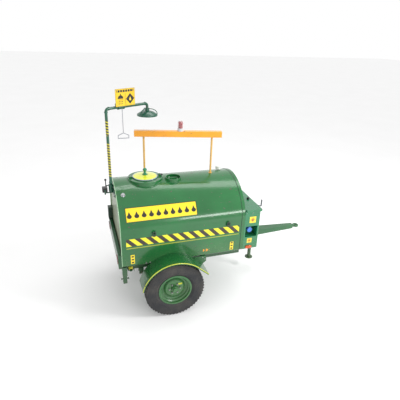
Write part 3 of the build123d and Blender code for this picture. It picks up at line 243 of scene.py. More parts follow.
def disc(u, v, radius):
    return (u * u + v * v) < radius * radius


def drop_shape(u, v, size):
    """A water drop, point upwards: a disc with a cone on it."""
    cone = (abs(u) < (1.15 - v / size * 0.5) * size * 0.78) * between(v, size * 0.2, size * 2.3)
    return disc(u, v, size) | cone


# %% [markdown]
# ## Painted steel
# Brushed and sprayed enamel is never one colour. It is a little deeper where it ran thick, dust settles
# low down, fine scuffs dull the gloss, and orange peel makes reflections tremble. One
# function builds that ground, and each painted piece lays its own marks over it.

# %% Enamel
DUST = tint(150, 140, 112)
CHIP = tint(70, 62, 54)


def enamel(name, colour, roughness=0.22, coat=0.6, dust=0.35, dust_top=0.75, chips=0.02, peel=1.0):
    paint = Paint(name, colour, roughness, coat_weight=coat, coat_roughness=0.06)
    cloud = paint.noise(2.2, 4)
    speck = paint.noise(70, 5)
    scuff = paint.noise(18, 6, (1, 1, 3))
    deep = tuple(v * 0.78 for v in colour[:3]) + (1.0,)
    pale = tuple(min(1, v * 1.16) for v in colour[:3]) + (1.0,)
    paint.colour = paint.mix((cloud - 0.3) * 2.2, deep, pale)
    paint.rough = roughness + (scuff - 0.5).unit() * 0.55
    settled = ((dust_top - paint.z) * 1.7).unit() * ((speck + cloud - 0.72) * 2.0).unit() * dust
    paint.lay(settled, DUST, 0.75)
    paint.lay(scuff > 1 - 0.3 - chips, CHIP if chips else colour, 0.6)
    paint.emboss(paint.noise(260, 1) * peel + scuff * 0.25)
    paint.drop = 0.00035
    return paint


# %% [markdown]
# ## The tank's paint and its markings
# The shell is rolled plate in a deep glossy green. A barrier stripe in black and yellow runs along each
# side above a thin line, and a long yellow sign lies on the shoulder. Its words are left out: a row of
# drops says the same in any language. All of it is masks on the place along the tank and the height.

# %% Tank
TANK_LOW, TANK_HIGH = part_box("tank_wrap")
REAR = TANK_LOW[0]
HALF = TANK_HIGH[1]
GREEN = tint(22, 102, 48)
YELLOW = tint(232, 226, 30)
SIGN_YELLOW = tint(238, 212, 28)
BLACK = tint(26, 24, 20)
STRIPE_START, STRIPE_END = 0.063, 1.545
STRIPE_LOW, STRIPE_HIGH = 1.003, 1.104
STRIPE_STEP = 0.135
SIGN_START, SIGN_END = 0.078, 0.966
SIGN_LOW, SIGN_HIGH = 1.318, 1.470


def tank_paint():
    paint = enamel("tank_enamel", GREEN, 0.16, coat=0.45, dust=0.35, dust_top=0.98)
    along = paint.x - REAR
    side = abs(paint.y) > HALF - 0.004
    # barrier stripe: slanted bars between two lines
    bars = ((along - STRIPE_START + paint.z - STRIPE_LOW) / STRIPE_STEP) % 1.0
    stripe = between(along, STRIPE_START, STRIPE_END) * between(paint.z, STRIPE_LOW, STRIPE_HIGH) * side
    paint.lay(stripe, paint.mix(bars < 0.5, tint(44, 34, 22), YELLOW), 0.3)
    line = between(along, STRIPE_START, STRIPE_END) * between(paint.z, 0.968, 0.981) * side
    paint.lay(line, tint(150, 160, 40), 0.35)
    # the sign on each shoulder: a dark edge, and a row of drops in pairs
    sign = between(along, SIGN_START, SIGN_END) * between(paint.z, SIGN_LOW, SIGN_HIGH)
    paint.lay(sign, SIGN_YELLOW, 0.3)
    u = (along - SIGN_START) % 0.0888 - 0.0444
    v = (paint.z - 0.5 * (SIGN_LOW + SIGN_HIGH)) * 1.35 + 0.018
    drops = drop_shape(u, v, 0.029)
    inner = between(along, SIGN_START + 0.008, SIGN_END - 0.008) * between(paint.z, SIGN_LOW + 0.006, SIGN_HIGH - 0.006)
    paint.lay(sign * (drops | (1 - inner)), BLACK, 0.35)
    # small plates low on the near side
    near = side * (paint.y < 0)
    for start, end, low, high in ((0.110, 0.158, 0.75, 0.88), (1.432, 1.480, 0.745, 0.865)):
        plate = between(along, start, end) * between(paint.z, low, high) * near
        paint.lay(plate, SIGN_YELLOW, 0.35)
        blocks = between(along, start + 0.010, end - 0.010) * between((paint.z - low) % 0.042, 0.010, 0.030)
        paint.lay(plate * blocks, BLACK)
    arrows = between(along, 1.050, 1.140) * between(paint.z, 0.776, 0.812) * near
    paint.lay(arrows * (((along - 1.050) + abs(paint.z - 0.794)) % 0.05 < 0.026), tint(232, 150, 30), 0.35)
    # a painted highlight: a broken pale line along the rolled edge at the tail
    edge_highlight = (along < 0.007) * (paint.noise(30, 3) > 0.33)
    paint.lay(edge_highlight, tint(150, 190, 150), 0.3)
    return paint.done()


# %% [markdown]
# ## The other painted pieces
# The chassis is brushed with a duller, darker paint and has taken the knocks. The cabinet is sprayed in
# a bluer green. Its side carries two picture plates, each an orange diamond round a black drop.

# %% Chassis, cabinet and mast paint
CABINET_LOW, CABINET_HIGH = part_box("cabinet_body")
TEAL = tint(16, 116, 70)
DARK_GREEN = tint(16, 78, 42)
MAST_GREEN = tint(16, 84, 60)


def cabinet_paint():
    paint = enamel("cabinet_enamel", TEAL, 0.22, coat=0.6, dust=0.4, dust_top=0.95)
    near = (paint.y < -HALF + 0.002) * 1.0
    for middle, height, size, colour in ((0.115, 1.160, 0.092, SIGN_YELLOW), (0.092, 0.846, 0.070, tint(225, 205, 60))):
        u = paint.x - CABINET_LOW[0] - middle
        v = paint.z - height
        plate = (abs(u) < size / 2) * (abs(v) < size / 2) * near
        paint.lay(plate, colour, 0.3)
        paint.lay(plate * ((abs(u) + abs(v)) < size * 0.40), tint(214, 150, 30), 0.3)
        paint.lay(plate * drop_shape(u, v + size * 0.06, size * 0.11), BLACK, 0.3)
    return paint.done()


MAST_AT = (REAR - 0.028, -0.050)
TAPE_HIGH = ((2.25, 2.43), (1.74, 2.16))


def mast_paint():
    """Dark coating with two lengths of slanted barrier tape wound round the upright."""
    paint = enamel("mast_enamel", MAST_GREEN, 0.28, coat=0.4, dust=0.15, peel=0.7)
    turn = paint.node("ShaderNodeMath", {"operation": "ARCTAN2"}, (paint.y - MAST_AT[1], paint.x - MAST_AT[0]))
    close = disc(paint.x - MAST_AT[0], paint.y - MAST_AT[1], 0.026)
    bars = (paint.z + turn * 0.0052) / 0.033 % 1.0
    for low, high in TAPE_HIGH:
        tape = between(paint.z, low, high) * close
        paint.lay(tape, paint.mix(bars < 0.64, tint(216, 206, 40), tint(26, 30, 22)), 0.35)
    return paint.done()


ARM_TURN = radians(30)
SIGN_AT = 0.118
SIGN_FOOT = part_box("sign_panel")[0][2]


def arm_sign_paint():
    """Picture plate on the arm: a dark header, a shower on the left and a diamond on the right."""
    paint = Paint("arm_sign", tint(232, 198, 30), 0.28, coat_weight=0.3)
    along = (paint.x - MAST_AT[0]) * cos(ARM_TURN) + (paint.y - MAST_AT[1]) * sin(ARM_TURN) - SIGN_AT
    v = paint.z - SIGN_FOOT
    fade = paint.noise(12, 4)
    paint.colour = paint.mix((fade - 0.35) * 1.4, tint(222, 180, 24), tint(240, 212, 48))
    header = between(v, 0.160, 0.186) * between(along, 0.020, 0.264) * ((along % 0.036) < 0.028)
    divider = between(along, 0.140, 0.144) * between(v, 0.014, 0.146)
    # the shower: pipe, bell and drops
    u = along - 0.073
    bell = disc(u, v - 0.088, 0.040) * (v > 0.088) | between(v, 0.120, 0.146) * (abs(u) < 0.006)
    rain = ((u + 0.5) % 0.020 < 0.008) * (v % 0.024 < 0.015) * between(v, 0.020, 0.080) * (abs(u) < 0.036)
    # the diamond with a pale drop in it
    w = along - 0.212
    diamond = (abs(w) + abs(v - 0.080)) < 0.062
    pale = drop_shape(w, v - 0.072, 0.015)
    paint.lay(header | divider | bell | rain | diamond, BLACK, 0.35)
    paint.lay(diamond * pale, tint(235, 205, 50), 0.3)
    edge = 1 - between(along, 0.005, 0.279) * between(v, 0.006, 0.194)
    paint.lay(edge, tint(180, 150, 30), 0.4)
    return paint.done()


# %% [markdown]
# ## Rubber, plastics, glass and bare metal
# Each of these is told by its gloss more than its colour. Tyre rubber is dull and dusty with fine
# moulding rings, plastics are even with a faint grain, and bare steel has a directional brushing.


# %% Plain finishes
def rubber(name, colour, dust=0.5):
    paint = Paint(name, colour, 0.72)
    cloud = paint.noise(6, 5)
    grit = paint.noise(160, 4)
    paint.colour = paint.mix(cloud, tuple(v * 0.7 for v in colour[:3]) + (1,), tuple(v * 1.25 for v in colour[:3]) + (1,))
    paint.lay(((grit + cloud - 0.85) * 2.4).unit() * dust, tint(120, 112, 96), 0.9)
    return paint.emboss(grit).done()


def moulded(name, colour, roughness=0.35, coat=0.0, **shader):
    paint = Paint(name, colour, roughness, coat_weight=coat, **shader)
    grain = paint.noise(500, 2)
    cloud = paint.noise(9, 4)
    paint.colour = paint.mix(cloud, tuple(v * 0.85 for v in colour[:3]) + (1,), colour)
    paint.rough = roughness + (cloud - 0.5) * 0.2
    paint.drop = 0.0002
    return paint.emboss(grain).done()


def bare_steel(name, colour, roughness=0.35, metallic=0.9, stretch=(1, 1, 14), rust=0.12):
    paint = Paint(name, colour, roughness, metallic=metallic)
    lines = paint.noise(90, 4, stretch)
    cloud = paint.noise(14, 5)
    paint.colour = paint.mix(lines, tuple(v * 0.72 for v in colour[:3]) + (1,), colour)
    paint.rough = roughness + (lines - 0.5) * 0.3
    paint.lay(((cloud - 0.60) * 5).unit() * rust * 4, tint(120, 74, 40), 0.8)
    paint.drop = 0.0002
    return paint.emboss(lines).done()


def clear_lens(name, colour, ribs=0.0, roughness=0.08, transmission=0.85, alpha=1.0):
    """Moulded lens: coloured, clear, with flutes pressed into it."""
    paint = Paint(name, colour, roughness, transmission_weight=transmission, ior=1.49, alpha=alpha, coat_weight=0.4)
    if ribs:
        paint.emboss((paint.z * ribs) % 1.0)
        paint.drop = 0.0015
    paint.colour = paint.mix(paint.noise(20, 3), tuple(v * 0.9 for v in colour[:3]) + (1,), colour)
    return paint.done()


def amber_paint():
    paint = enamel("bar_amber", tint(240, 160, 14), 0.3, coat=0.5, dust=0.0, chips=0.015, peel=0.8)
    return paint.done()


def lid_paint():
    """Yellow enamel on the spun lid, dulled in a ring where hands open it."""
    paint = enamel("lid_yellow", tint(226, 232, 40), 0.12, coat=1.0, dust=0.0, chips=0.0, peel=0.6)
    low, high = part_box("manhole_gasket")
    reach = ((paint.x - (low[0] + high[0]) / 2) ** 2 + paint.y**2) ** 0.5
    paint.lay(reach > 0.1495, tint(150, 172, 176), 0.2)
    paint.lay(reach > 0.1615, GREEN, 0.25)
    return paint.done()


def tail_plate_paint():
    """The flat end plate: a pale, dusty grey-green enamel with a thin clear coat."""
    paint = enamel("tail_plate", tint(104, 124, 92), 0.42, coat=0.2, dust=0.5, dust_top=1.5)
    return paint.done()


WHEEL_LOW, WHEEL_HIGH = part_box("tyre_right")
WHEEL_X = (WHEEL_LOW[0] + WHEEL_HIGH[0]) / 2
WHEEL_Z = (WHEEL_LOW[2] + WHEEL_HIGH[2]) / 2


def drain_paint():
    """The outlet's block, with a small picture plate facing outwards."""
    paint = enamel("drain_enamel", DARK_GREEN, 0.4, coat=0.2, dust=0.3, chips=0.03)
    low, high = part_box("drain_valve")
    plate = between(paint.z, 0.668, 0.692)
    front = paint.y < (low[1] + 0.036)
    mark = plate * front * (abs(paint.x - (low[0] + high[0]) / 2) < 0.027)
    paint.lay(mark, tint(196, 190, 60), 0.4)
    return paint.done()


def wheel_paint():
    paint = enamel("wheel_enamel", tint(14, 98, 44), 0.28, coat=0.4, dust=0.18, dust_top=0.9, chips=0.02)
    # a small yellow tally plate on the near wheel's dish
    plate = (abs(paint.x - WHEEL_X - 0.075) < 0.026) * (abs(paint.z - WHEEL_Z - 0.055) < 0.013) * (paint.y < 0)
    paint.lay(plate, tint(190, 200, 50), 0.4)
    return paint.done()


# %% Paint every CAD node
finishes = {
    "tank": tank_paint(),
    "tail": tail_plate_paint(),
    "cabinet": cabinet_paint(),
    "chassis": enamel("chassis_enamel", DARK_GREEN, 0.36, coat=0.3, dust=0.25, dust_top=0.9, chips=0.04).done(),
    "drawbar": enamel("drawbar_enamel", tint(20, 96, 50), 0.3, coat=0.3, dust=0.2, dust_top=0.9, chips=0.04).done(),
    "fender": enamel("fender_enamel", tint(18, 92, 42), 0.26, coat=0.4, dust=0.18, dust_top=0.85).done(),
    "mast": mast_paint(),
    "head": enamel("head_enamel", tint(18, 88, 66), 0.3, coat=0.3, dust=0.1).done(),
    "wheel": wheel_paint(),
    "lid": lid_paint(),
    "knob": moulded("knob_green", tint(30, 128, 84), 0.25, coat=0.4),
    "amber": amber_paint(),
    "post": enamel("post_amber", tint(214, 168, 84), 0.34, coat=0.3, dust=0.0, chips=0.02).done(),
    "beacon": moulded("beacon_grey", tint(205, 206, 208), 0.5),
    "dome": clear_lens("beacon_clear", tint(236, 238, 242), ribs=0, roughness=0.15, transmission=0.0, alpha=0.07),
    "core": clear_lens("beacon_red", tint(150, 8, 26), ribs=60, transmission=0.0),
    "sign": arm_sign_paint(),
    "rod": bare_steel("rod_steel", tint(172, 174, 180), 0.34, stretch=(6, 6, 1)),
    "tyre": rubber("tyre_rubber", tint(36, 38, 42), 0.22),
    "zinc": bare_steel("wheel_zinc", tint(168, 172, 168), 0.38),
    "white": moulded("vent_white", tint(232, 234, 230), 0.35, coat=0.3),
    "blue": moulded("inlet_blue", tint(72, 132, 226), 0.32, coat=0.3),
    "orange": clear_lens("lamp_orange", tint(232, 92, 26), ribs=140, transmission=0.2),
    "red": clear_lens("lamp_red", tint(110, 12, 14), ribs=140, transmission=0.0),
    "black": enamel("black_metal", tint(30, 30, 32), 0.35, coat=0.2, dust=0.2).done(),
    "knob_black": moulded("black_plastic", tint(28, 28, 30), 0.42),
    "seal": rubber("seal_rubber", tint(24, 24, 25), 0.1),
    "lug": enamel("lug_enamel", tint(22, 52, 36), 0.4, coat=0.2, dust=0.2, chips=0.06).done(),
    "spring": enamel("spring_steel", tint(38, 48, 40), 0.5, coat=0.0, dust=0.7, dust_top=1.3, chips=0.05).done(),
    "crank": bare_steel("crank_steel", tint(128, 130, 136), 0.4),
    "pump": enamel("pump_blue", tint(40, 74, 130), 0.35, coat=0.3).done(),
    "glass": clear_lens("lamp_glass", tint(228, 232, 236), ribs=0, transmission=0.6),
    "drain": drain_paint(),
    "seam": enamel("seam_enamel", tint(16, 58, 34), 0.4, coat=0.2, dust=0.2).done(),
    # pale green enamel for the tail rim bead: a painted highlight along the rolled edge
    "rim_highlight": enamel("rim_highlight_enamel", tint(150, 186, 150), 0.3, coat=0.4, dust=0.1, chips=0.06).done(),
    "chrome": bare_steel("plated_steel", tint(214, 216, 220), 0.18, metallic=1.0, rust=0.02),
    "weld": enamel("weld_enamel", tint(24, 104, 50), 0.3, coat=0.3, dust=0.2).done(),
    "bead": enamel("trim_yellow", tint(190, 196, 54), 0.35, coat=0.3, dust=0.3).done(),
}
PAINTED = {
    "tank": "tank_wrap front_plate manhole_neck filler_neck filler_cap",
    "tail": "rear_plate",
    "cabinet": "cabinet_body cabinet_lid",
    "chassis": "chassis_frame rear_bumper axle jack_tube jack_leg rear_leg_left rear_leg_right",
    "drain": "drain_valve",
    "lug": "lashing_lugs control_box",
    "drawbar": "drawbar tow_eye",
    "fender": "fenders",
    "mast": "mast_pipe mast_bracket",
    "head": "shower_head shower_valve",
    "wheel": "rim_left rim_right hub_left hub_right",
    "lid": "manhole_lid",
    "knob": "lid_knob",
    "amber": "light_bar",
    "post": "light_bar_posts",
    "beacon": "beacon_base",
    "dome": "beacon_lens",
    "core": "beacon_lamp",
    "sign": "sign_panel",
    "rod": "pull_rod valve_lever",
    "tyre": "tyre_left tyre_right",
    "zinc": "wheel_nuts_left wheel_nuts_right drain_lever spray_plate",
    "white": "vent",
    "blue": "power_inlet inlet_flap",
    "orange": "side_lamps",
    "red": "tail_lamps",
    "black": "swing_bolt lock_lever work_lamp",
    "knob_black": "cabinet_latch",
    "seal": "manhole_gasket",
    "spring": "leaf_springs spring_clamps",
    "crank": "jack_crank pipework",
    "pump": "pump_set",
}
for finish, names in PAINTED.items():
    for name in names.split():
        NODES[name].data.materials.clear()
        NODES[name].data.materials.append(finishes[finish])
floor_paint = Paint("floor_card", tint(246, 246, 246), 0.9)
floor_paint.colour = floor_paint.mix(floor_paint.noise(0.8, 3), tint(244, 244, 244), tint(249, 249, 249))
floor.data.materials.append(floor_paint.done())
print("painted", sum(len(names.split()) for names in PAINTED.values()), "nodes")

# %% [markdown]
# ## Working with operators
# The small pieces start as primitives and are shaped in edit mode, as by hand. Two helpers keep that
# tidy: one selects faces by a test on their place or normal, and one applies a finished piece's place
# to its mesh, paints it and makes it ride with its CAD body.


# %% Helpers for new pieces
def alone(piece):
    """Leaves only this piece selected and active."""
    if bpy.context.mode != "OBJECT":
        bpy.ops.object.mode_set(mode="OBJECT")
    bpy.ops.object.select_all(action="DESELECT")
    piece.select_set(True)
    bpy.context.view_layer.objects.active = piece


def choose(piece, test):
    """Enters edit mode with the faces selected that pass the test."""
    alone(piece)
    bpy.context.tool_settings.mesh_select_mode = (False, False, True)
    bpy.ops.object.mode_set(mode="EDIT")
    bpy.ops.mesh.select_all(action="DESELECT")
    bpy.ops.object.mode_set(mode="OBJECT")
    for face in piece.data.polygons:
        face.select = test(face)
    bpy.ops.object.mode_set(mode="EDIT")


def joined(parts):
    """One object from several."""
    alone(parts[0])
    for part in parts[1:]:
        part.select_set(True)
    if len(parts) > 1:
        bpy.ops.object.join()
    return bpy.context.object


def settle(piece, name, body, finish, angle=32):
    """Puts a finished piece's place into its mesh, paints it and lets it ride on a body."""
    alone(piece)
    bpy.ops.object.transform_apply(location=True, rotation=True, scale=True)
    bpy.ops.object.shade_smooth_by_angle(angle=radians(angle))
    piece.name = piece.data.name = name
    piece.data.materials.clear()
    piece.data.materials.append(finishes[finish])
    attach(piece, body)
    print("made", name, len(piece.data.polygons), "faces")
    return piece


def copies(pattern, places):
    """Copies of a pattern that stands on the origin, one for each point and direction, as one object."""
    parts = []
    for point, normal in places:
        part = pattern.copy()
        part.data = pattern.data.copy()
        bpy.context.collection.objects.link(part)
        turn = Vector(normal).to_track_quat("Z", "Y").to_matrix().to_4x4()
        part.matrix_world = Matrix.Translation(point) @ turn
        parts.append(part)
    whole = joined(parts)
    bpy.ops.object.transform_apply(location=True, rotation=True, scale=True)
    return whole


def line_piece(points, radius, closed=False, ripple=0.0):
    """A round bead along points; a ripple swells every other point, as a welder's run does."""
    curve = bpy.data.curves.new("bead", "CURVE")
    curve.dimensions = "3D"
    curve.bevel_depth = radius
    curve.bevel_resolution = 2
    curve.use_fill_caps = not closed
    spline = curve.splines.new("POLY")
    spline.points.add(len(points) - 1)
    for number, (knot, point) in enumerate(zip(spline.points, points)):
        knot.co = (*point, 1.0)
        knot.radius = 1.0 + ripple * (number % 2)
    spline.use_cyclic_u = closed
    piece = bpy.data.objects.new("bead", curve)
    bpy.context.collection.objects.link(piece)
    alone(piece)
    bpy.ops.object.convert(target="MESH")
    return bpy.context.object


# %% [markdown]
# ## Weld beads and rolled edges
# The tank is one rolled sheet, welded to its end plates, and its necks are welded into holes in the
# crown. A bead follows each of those joints. The section is three kinds of arc, so its points come from
# the arcs' centres, and the ripples from a point every few millimetres.

# %% Beads on the tank
SHOULDER_Z = 1.195
HAUNCH = 0.340
CORNER = 0.025
SEAM = TAIL + 1.576
BEAD_STEP = 0.007


def arc_points(centre, radius, start, end):
    """Points (y, z) along an arc, about one bead step apart."""
    count = max(4, int(abs(end - start) * radius / BEAD_STEP))
    turns = [start + (end - start) * number / count for number in range(count)]
    return [(centre[0] + radius * cos(turn), centre[1] + radius * sin(turn)) for turn in turns]


def straight_points(start, end):
    count = max(2, int((Vector(end) - Vector(start)).length / BEAD_STEP))
    return [tuple(Vector(start).lerp(Vector(end), number / count)) for number in range(count)]


CROWN_RISE = TANK_HIGH[2] - SHOULDER_Z
CROWN_R = (HALF**2 + CROWN_RISE**2 - 2 * HALF * HAUNCH) / (2 * (CROWN_RISE - HAUNCH))
CROWN_Z = TANK_HIGH[2] - CROWN_R
HAUNCH_TURN = atan2(SHOULDER_Z - CROWN_Z, HALF - HAUNCH)


def tank_ring(x, out):
    """Closed line round the tank's skin at x, standing out from it."""
    side, base = HALF + out, TANK_LOW[2] - out
    corner = CORNER + out
    ring = straight_points((-side + corner, base), (side - corner, base))
    ring += arc_points((side - corner, base + corner), corner, -pi / 2, 0)
    ring += straight_points((side, base + corner), (side, SHOULDER_Z))
    ring += arc_points((HALF - HAUNCH, SHOULDER_Z), HAUNCH + out, 0, HAUNCH_TURN)
    ring += arc_points((0, CROWN_Z), CROWN_R + out, HAUNCH_TURN, pi - HAUNCH_TURN)
    ring += arc_points((HAUNCH - HALF, SHOULDER_Z), HAUNCH + out, pi - HAUNCH_TURN, pi)
    ring += straight_points((-side, SHOULDER_Z), (-side, base + corner))
    ring += arc_points((-side + corner, base + corner), corner, pi, 1.5 * pi)
    return [(x, y, z) for y, z in ring]


def crown_z(y):
    return CROWN_Z + sqrt(CROWN_R**2 - y * y)


def neck_ring(node, out=0.002):
    """Closed line where an upright neck meets the crown."""
    low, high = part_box(node)
    radius = (high[1] - low[1]) / 2 + out
    x, y = (low[0] + high[0]) / 2, (low[1] + high[1]) / 2
    count = int(2 * pi * radius / BEAD_STEP)
    spots = [(radius * cos(2 * pi * n / count), radius * sin(2 * pi * n / count)) for n in range(count)]
    return [(x + a, y + b, crown_z(y + b) + 0.001) for a, b in spots]


settle(line_piece(tank_ring(SEAM, 0.0), 0.0034, True, 0.25), "seam_bead", "trailer", "seam")
# the tail rim bead is painted pale green as a painted highlight along the rolled edge
settle(line_piece(tank_ring(TAIL + 0.001, -0.0025), 0.0032, True), "tail_rim", "trailer", "rim_highlight")
settle(line_piece(tank_ring(TAIL + 0.0125, -0.0062), 0.0036, True, 0.25), "tail_bead", "trailer", "tail")
settle(line_piece(neck_ring("manhole_neck"), 0.0048, True, 0.22), "manhole_bead", "trailer", "weld")
settle(line_piece(neck_ring("filler_neck"), 0.0042, True, 0.22), "filler_bead", "trailer", "weld")

# %% [markdown]
# ## Trim on the fenders
# A push-on trim guards the cut edge of each fender. It starts low behind the wheel, follows the arc over
# it and runs straight down the tail. The fender's own box gives the radius and the outer edge.

# %% Fender trims
FENDER_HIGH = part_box("fenders")[1]
FENDER_R = FENDER_HIGH[2] - WHEEL_Z
FENDER_TURNS = (radians(168), radians(49))
FENDER_TAIL = 0.190
TRIM_R = 0.0052

for side, word in ((1, "left"), (-1, "right")):
    y = side * (FENDER_HIGH[1] - 0.003)
    route = [(WHEEL_X + a, y, WHEEL_Z + b) for a, b in arc_points((0, 0), FENDER_R, *FENDER_TURNS)]
    end_turn = FENDER_TURNS[1]
    corner = Vector((WHEEL_X + FENDER_R * cos(end_turn), y, WHEEL_Z + FENDER_R * sin(end_turn)))
    route += [tuple(corner), tuple(corner + FENDER_TAIL * Vector((sin(end_turn), 0, -cos(end_turn))))]
    settle(line_piece(route, TRIM_R), f"fender_trim_{word}", "trailer", "bead")

# %% [markdown]
# ## Tyres
# A cross-ply trailer tyre has raised rings on its wall and rows of slanted lugs with open shoulders. The
# carcass starts as a cylinder: each cap is pushed out and scaled, ring by ring, down to the bead. One lug is
# modelled from a cube and copied round in four rows, which is far lighter than cutting grooves.

# %% Tyres
TYRE_R = (WHEEL_HIGH[2] - WHEEL_LOW[2]) / 2
TREAD_DEPTH = 0.010
WALL_RINGS = (
    (0.0790, 0.3740), (0.0835, 0.3600), (0.0850, 0.3480), (0.0868, 0.3470), (0.0868, 0.3400),
    (0.0855, 0.3390), (0.0872, 0.3180), (0.0880, 0.2980), (0.0872, 0.2760), (0.0856, 0.2620),
    (0.0872, 0.2608), (0.0872, 0.2530), (0.0850, 0.2518), (0.0790, 0.2370), (0.0710, 0.2250),
    (0.0665, 0.2180), (0.0665, 0.2046),
)
LUG_ROWS = ((0.060, 0.036, 0.5), (0.021, 0.028, -0.4), (-0.021, 0.028, 0.4), (-0.060, 0.036, -0.5))
LUGS_ROUND = 54


def tyre_carcass():
    """Round body about the Z axis, its two caps drawn down into walls and bridged through the middle."""
    radius = TYRE_R - TREAD_DEPTH
    bpy.ops.mesh.primitive_cylinder_add(vertices=144, radius=radius, depth=0.140, end_fill_type="NGON")
    body = bpy.context.object
    for side in (1, -1):
        at, size = 0.070, radius
        choose(body, lambda face: face.normal.z * side > 0.9 and len(face.vertices) > 4)
        for out, reach in WALL_RINGS:
            step = {"value": (0, 0, side * (out - at))}
            bpy.ops.mesh.extrude_region_move(TRANSFORM_OT_translate=step)
            scale = reach / size
            bpy.ops.transform.resize(value=(scale, scale, 1), center_override=(0, 0, side * out))
            at, size = out, reach
        bpy.ops.object.mode_set(mode="OBJECT")
    choose(body, lambda face: abs(face.normal.z) > 0.9 and len(face.vertices) > 100)
    bpy.ops.mesh.bridge_edge_loops()
    bpy.ops.object.mode_set(mode="OBJECT")
    return body


def tyre_lugs():
    """Slanted blocks round the tread in four rows, each block's foot sunk into the carcass."""
    parts = []
    for across, width, slant in LUG_ROWS:
        bpy.ops.mesh.primitive_cube_add(size=1)
        lug = bpy.context.object
        lug.scale = (0.0285, width, 0.020)
        bpy.ops.object.transform_apply(scale=True)
        choose(lug, lambda face: face.normal.z > 0.9)
        bpy.ops.transform.resize(value=(0.82, 0.92, 1), center_override=(0, 0, 0.010))
        bpy.ops.mesh.select_all(action="SELECT")
        bpy.ops.mesh.bevel(offset=0.0018, segments=1, affect="EDGES")
        bpy.ops.object.mode_set(mode="OBJECT")
        for number in range(LUGS_ROUND):
            turn = 2 * pi * (number + (0.5 if slant > 0 else 0.0)) / LUGS_ROUND
            part = lug.copy()
            part.data = lug.data.copy()
            bpy.context.collection.objects.link(part)
            reach = TYRE_R - 0.0118 - abs(across) * 0.018
            stand = Matrix.Rotation(turn, 4, "Z") @ Matrix.Translation((reach, 0, across))
            lean = Matrix.Rotation(pi / 2, 4, "Y") @ Matrix.Rotation(pi / 2 + slant, 4, "Z")
            part.matrix_world = stand @ lean
            parts.append(part)
        bpy.data.objects.remove(lug)
    return joined(parts)


tyre = joined([tyre_carcass(), tyre_lugs()])
for side, word in ((1, "left"), (-1, "right")):
    low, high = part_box(f"tyre_{word}")
    piece = tyre.copy()
    piece.data = tyre.data.copy()
    bpy.context.collection.objects.link(piece)
    middle = Vector(low).lerp(Vector(high), 0.5)
    piece.matrix_world = Matrix.Translation(middle) @ Matrix.Rotation(side * pi / 2, 4, "X")
    settle(piece, f"ribbed_tyre_{word}", f"wheel_{word}", "tyre", 38)
    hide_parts(f"tyre_{word}")
bpy.data.objects.remove(tyre)

# %% [markdown]
# ## Bolts, rivets and plugs
# A bolt head is a washer under a hexagon with a softened nose. It is modelled once in each size, standing
# on the origin, and copied to its places: the mast's bracket, the axle's clamps, the fenders, the sign.


# %% Bolt heads
def bolt_pattern(across, height):
    """Washer and hexagon on the origin, looking along +Z."""
    washer_height = height * 0.22
    bpy.ops.mesh.primitive_cylinder_add(vertices=20, radius=across * 0.74, depth=washer_height)
    washer = bpy.context.object
    washer.location.z = washer_height / 2
    choose(washer, lambda face: face.normal.z > 0.9)
    bpy.ops.mesh.bevel(offset=washer_height * 0.3, segments=1, affect="EDGES")
    bpy.ops.object.mode_set(mode="OBJECT")
    bpy.ops.mesh.primitive_cylinder_add(vertices=6, radius=across * 0.577, depth=height - washer_height)
    head = bpy.context.object
    head.location.z = (height + washer_height) / 2
    choose(head, lambda face: face.normal.z > 0.9)
    bpy.ops.mesh.inset(thickness=across * 0.07)
    bpy.ops.transform.translate(value=(0, 0, height * 0.07))
    bpy.ops.object.mode_set(mode="OBJECT")
    return joined([washer, head])


def rivet_pattern(radius):
    """A flat dome, half a ball squashed onto the sheet."""
    bpy.ops.mesh.primitive_uv_sphere_add(segments=16, ring_count=10, radius=radius)
    dome = bpy.context.object
    choose(dome, lambda face: True)
    bpy.ops.mesh.bisect(plane_co=(0, 0, 0), plane_no=(0, 0, 1), clear_inner=True, use_fill=True)
    bpy.ops.mesh.select_all(action="SELECT")
    bpy.ops.transform.resize(value=(1, 1, 0.55), center_override=(0, 0, 0))
    bpy.ops.object.mode_set(mode="OBJECT")
    return dome


def fasten(name, pattern, places, body, finish):
    settle(copies(pattern, places), name, body, finish)
    bpy.data.objects.remove(pattern)


PLATE_X = TAIL + 0.012 - 0.0002 - 0.008
PLATE_Z = 1.545
bracket_places = [((PLATE_X, MAST_AT[1] + a, PLATE_Z + b), (-1, 0, 0)) for a in (-0.044, 0.044) for b in (-0.060, 0.060)]
fasten("bracket_bolts", bolt_pattern(0.019, 0.012), bracket_places, "trailer", "zinc")

CLAMP_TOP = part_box("spring_clamps")[1][2]
SPRING_Y = 0.430
rods = [(WHEEL_X + a, s * SPRING_Y + b) for s in (-1, 1) for a in (-0.038, 0.038) for b in (-0.040, 0.040)]
clamp_places = [((x, y, CLAMP_TOP - 0.022), (0, 0, 1)) for x, y in rods]
fasten("clamp_nuts", bolt_pattern(0.022, 0.013), clamp_places, "trailer", "zinc")

GUSSET_X = WHEEL_X + 0.452
fender_places = [((GUSSET_X + a, s * (HALF + 0.0002), 0.690 - b), (0, s, 0)) for s in (-1, 1) for a, b in ((-0.03, 0), (0, 0.03))]
fender_places += [((WHEEL_X - 0.33 + a, s * (HALF + 0.0002), 0.735), (0, s, 0)) for s in (-1, 1) for a in (0, 0.05)]
fasten("fender_bolts", bolt_pattern(0.015, 0.009), fender_places, "trailer", "zinc")

ARM = Vector((cos(ARM_TURN), sin(ARM_TURN), 0))
OUTWARD = Vector((sin(ARM_TURN), -cos(ARM_TURN), 0))
SIGN_FACE = 0.026 + 0.004 + 0.0002 + 0.0025
sign_places = [
    (Vector((*MAST_AT, SIGN_FOOT + up)) + ARM * (SIGN_AT + along) + OUTWARD * SIGN_FACE, OUTWARD)
    for along, up in ((0.030, 0.016), (0.254, 0.016), (0.012, 0.188), (0.272, 0.188))
]
fasten("sign_rivets", rivet_pattern(0.005), sign_places, "mast", "zinc")

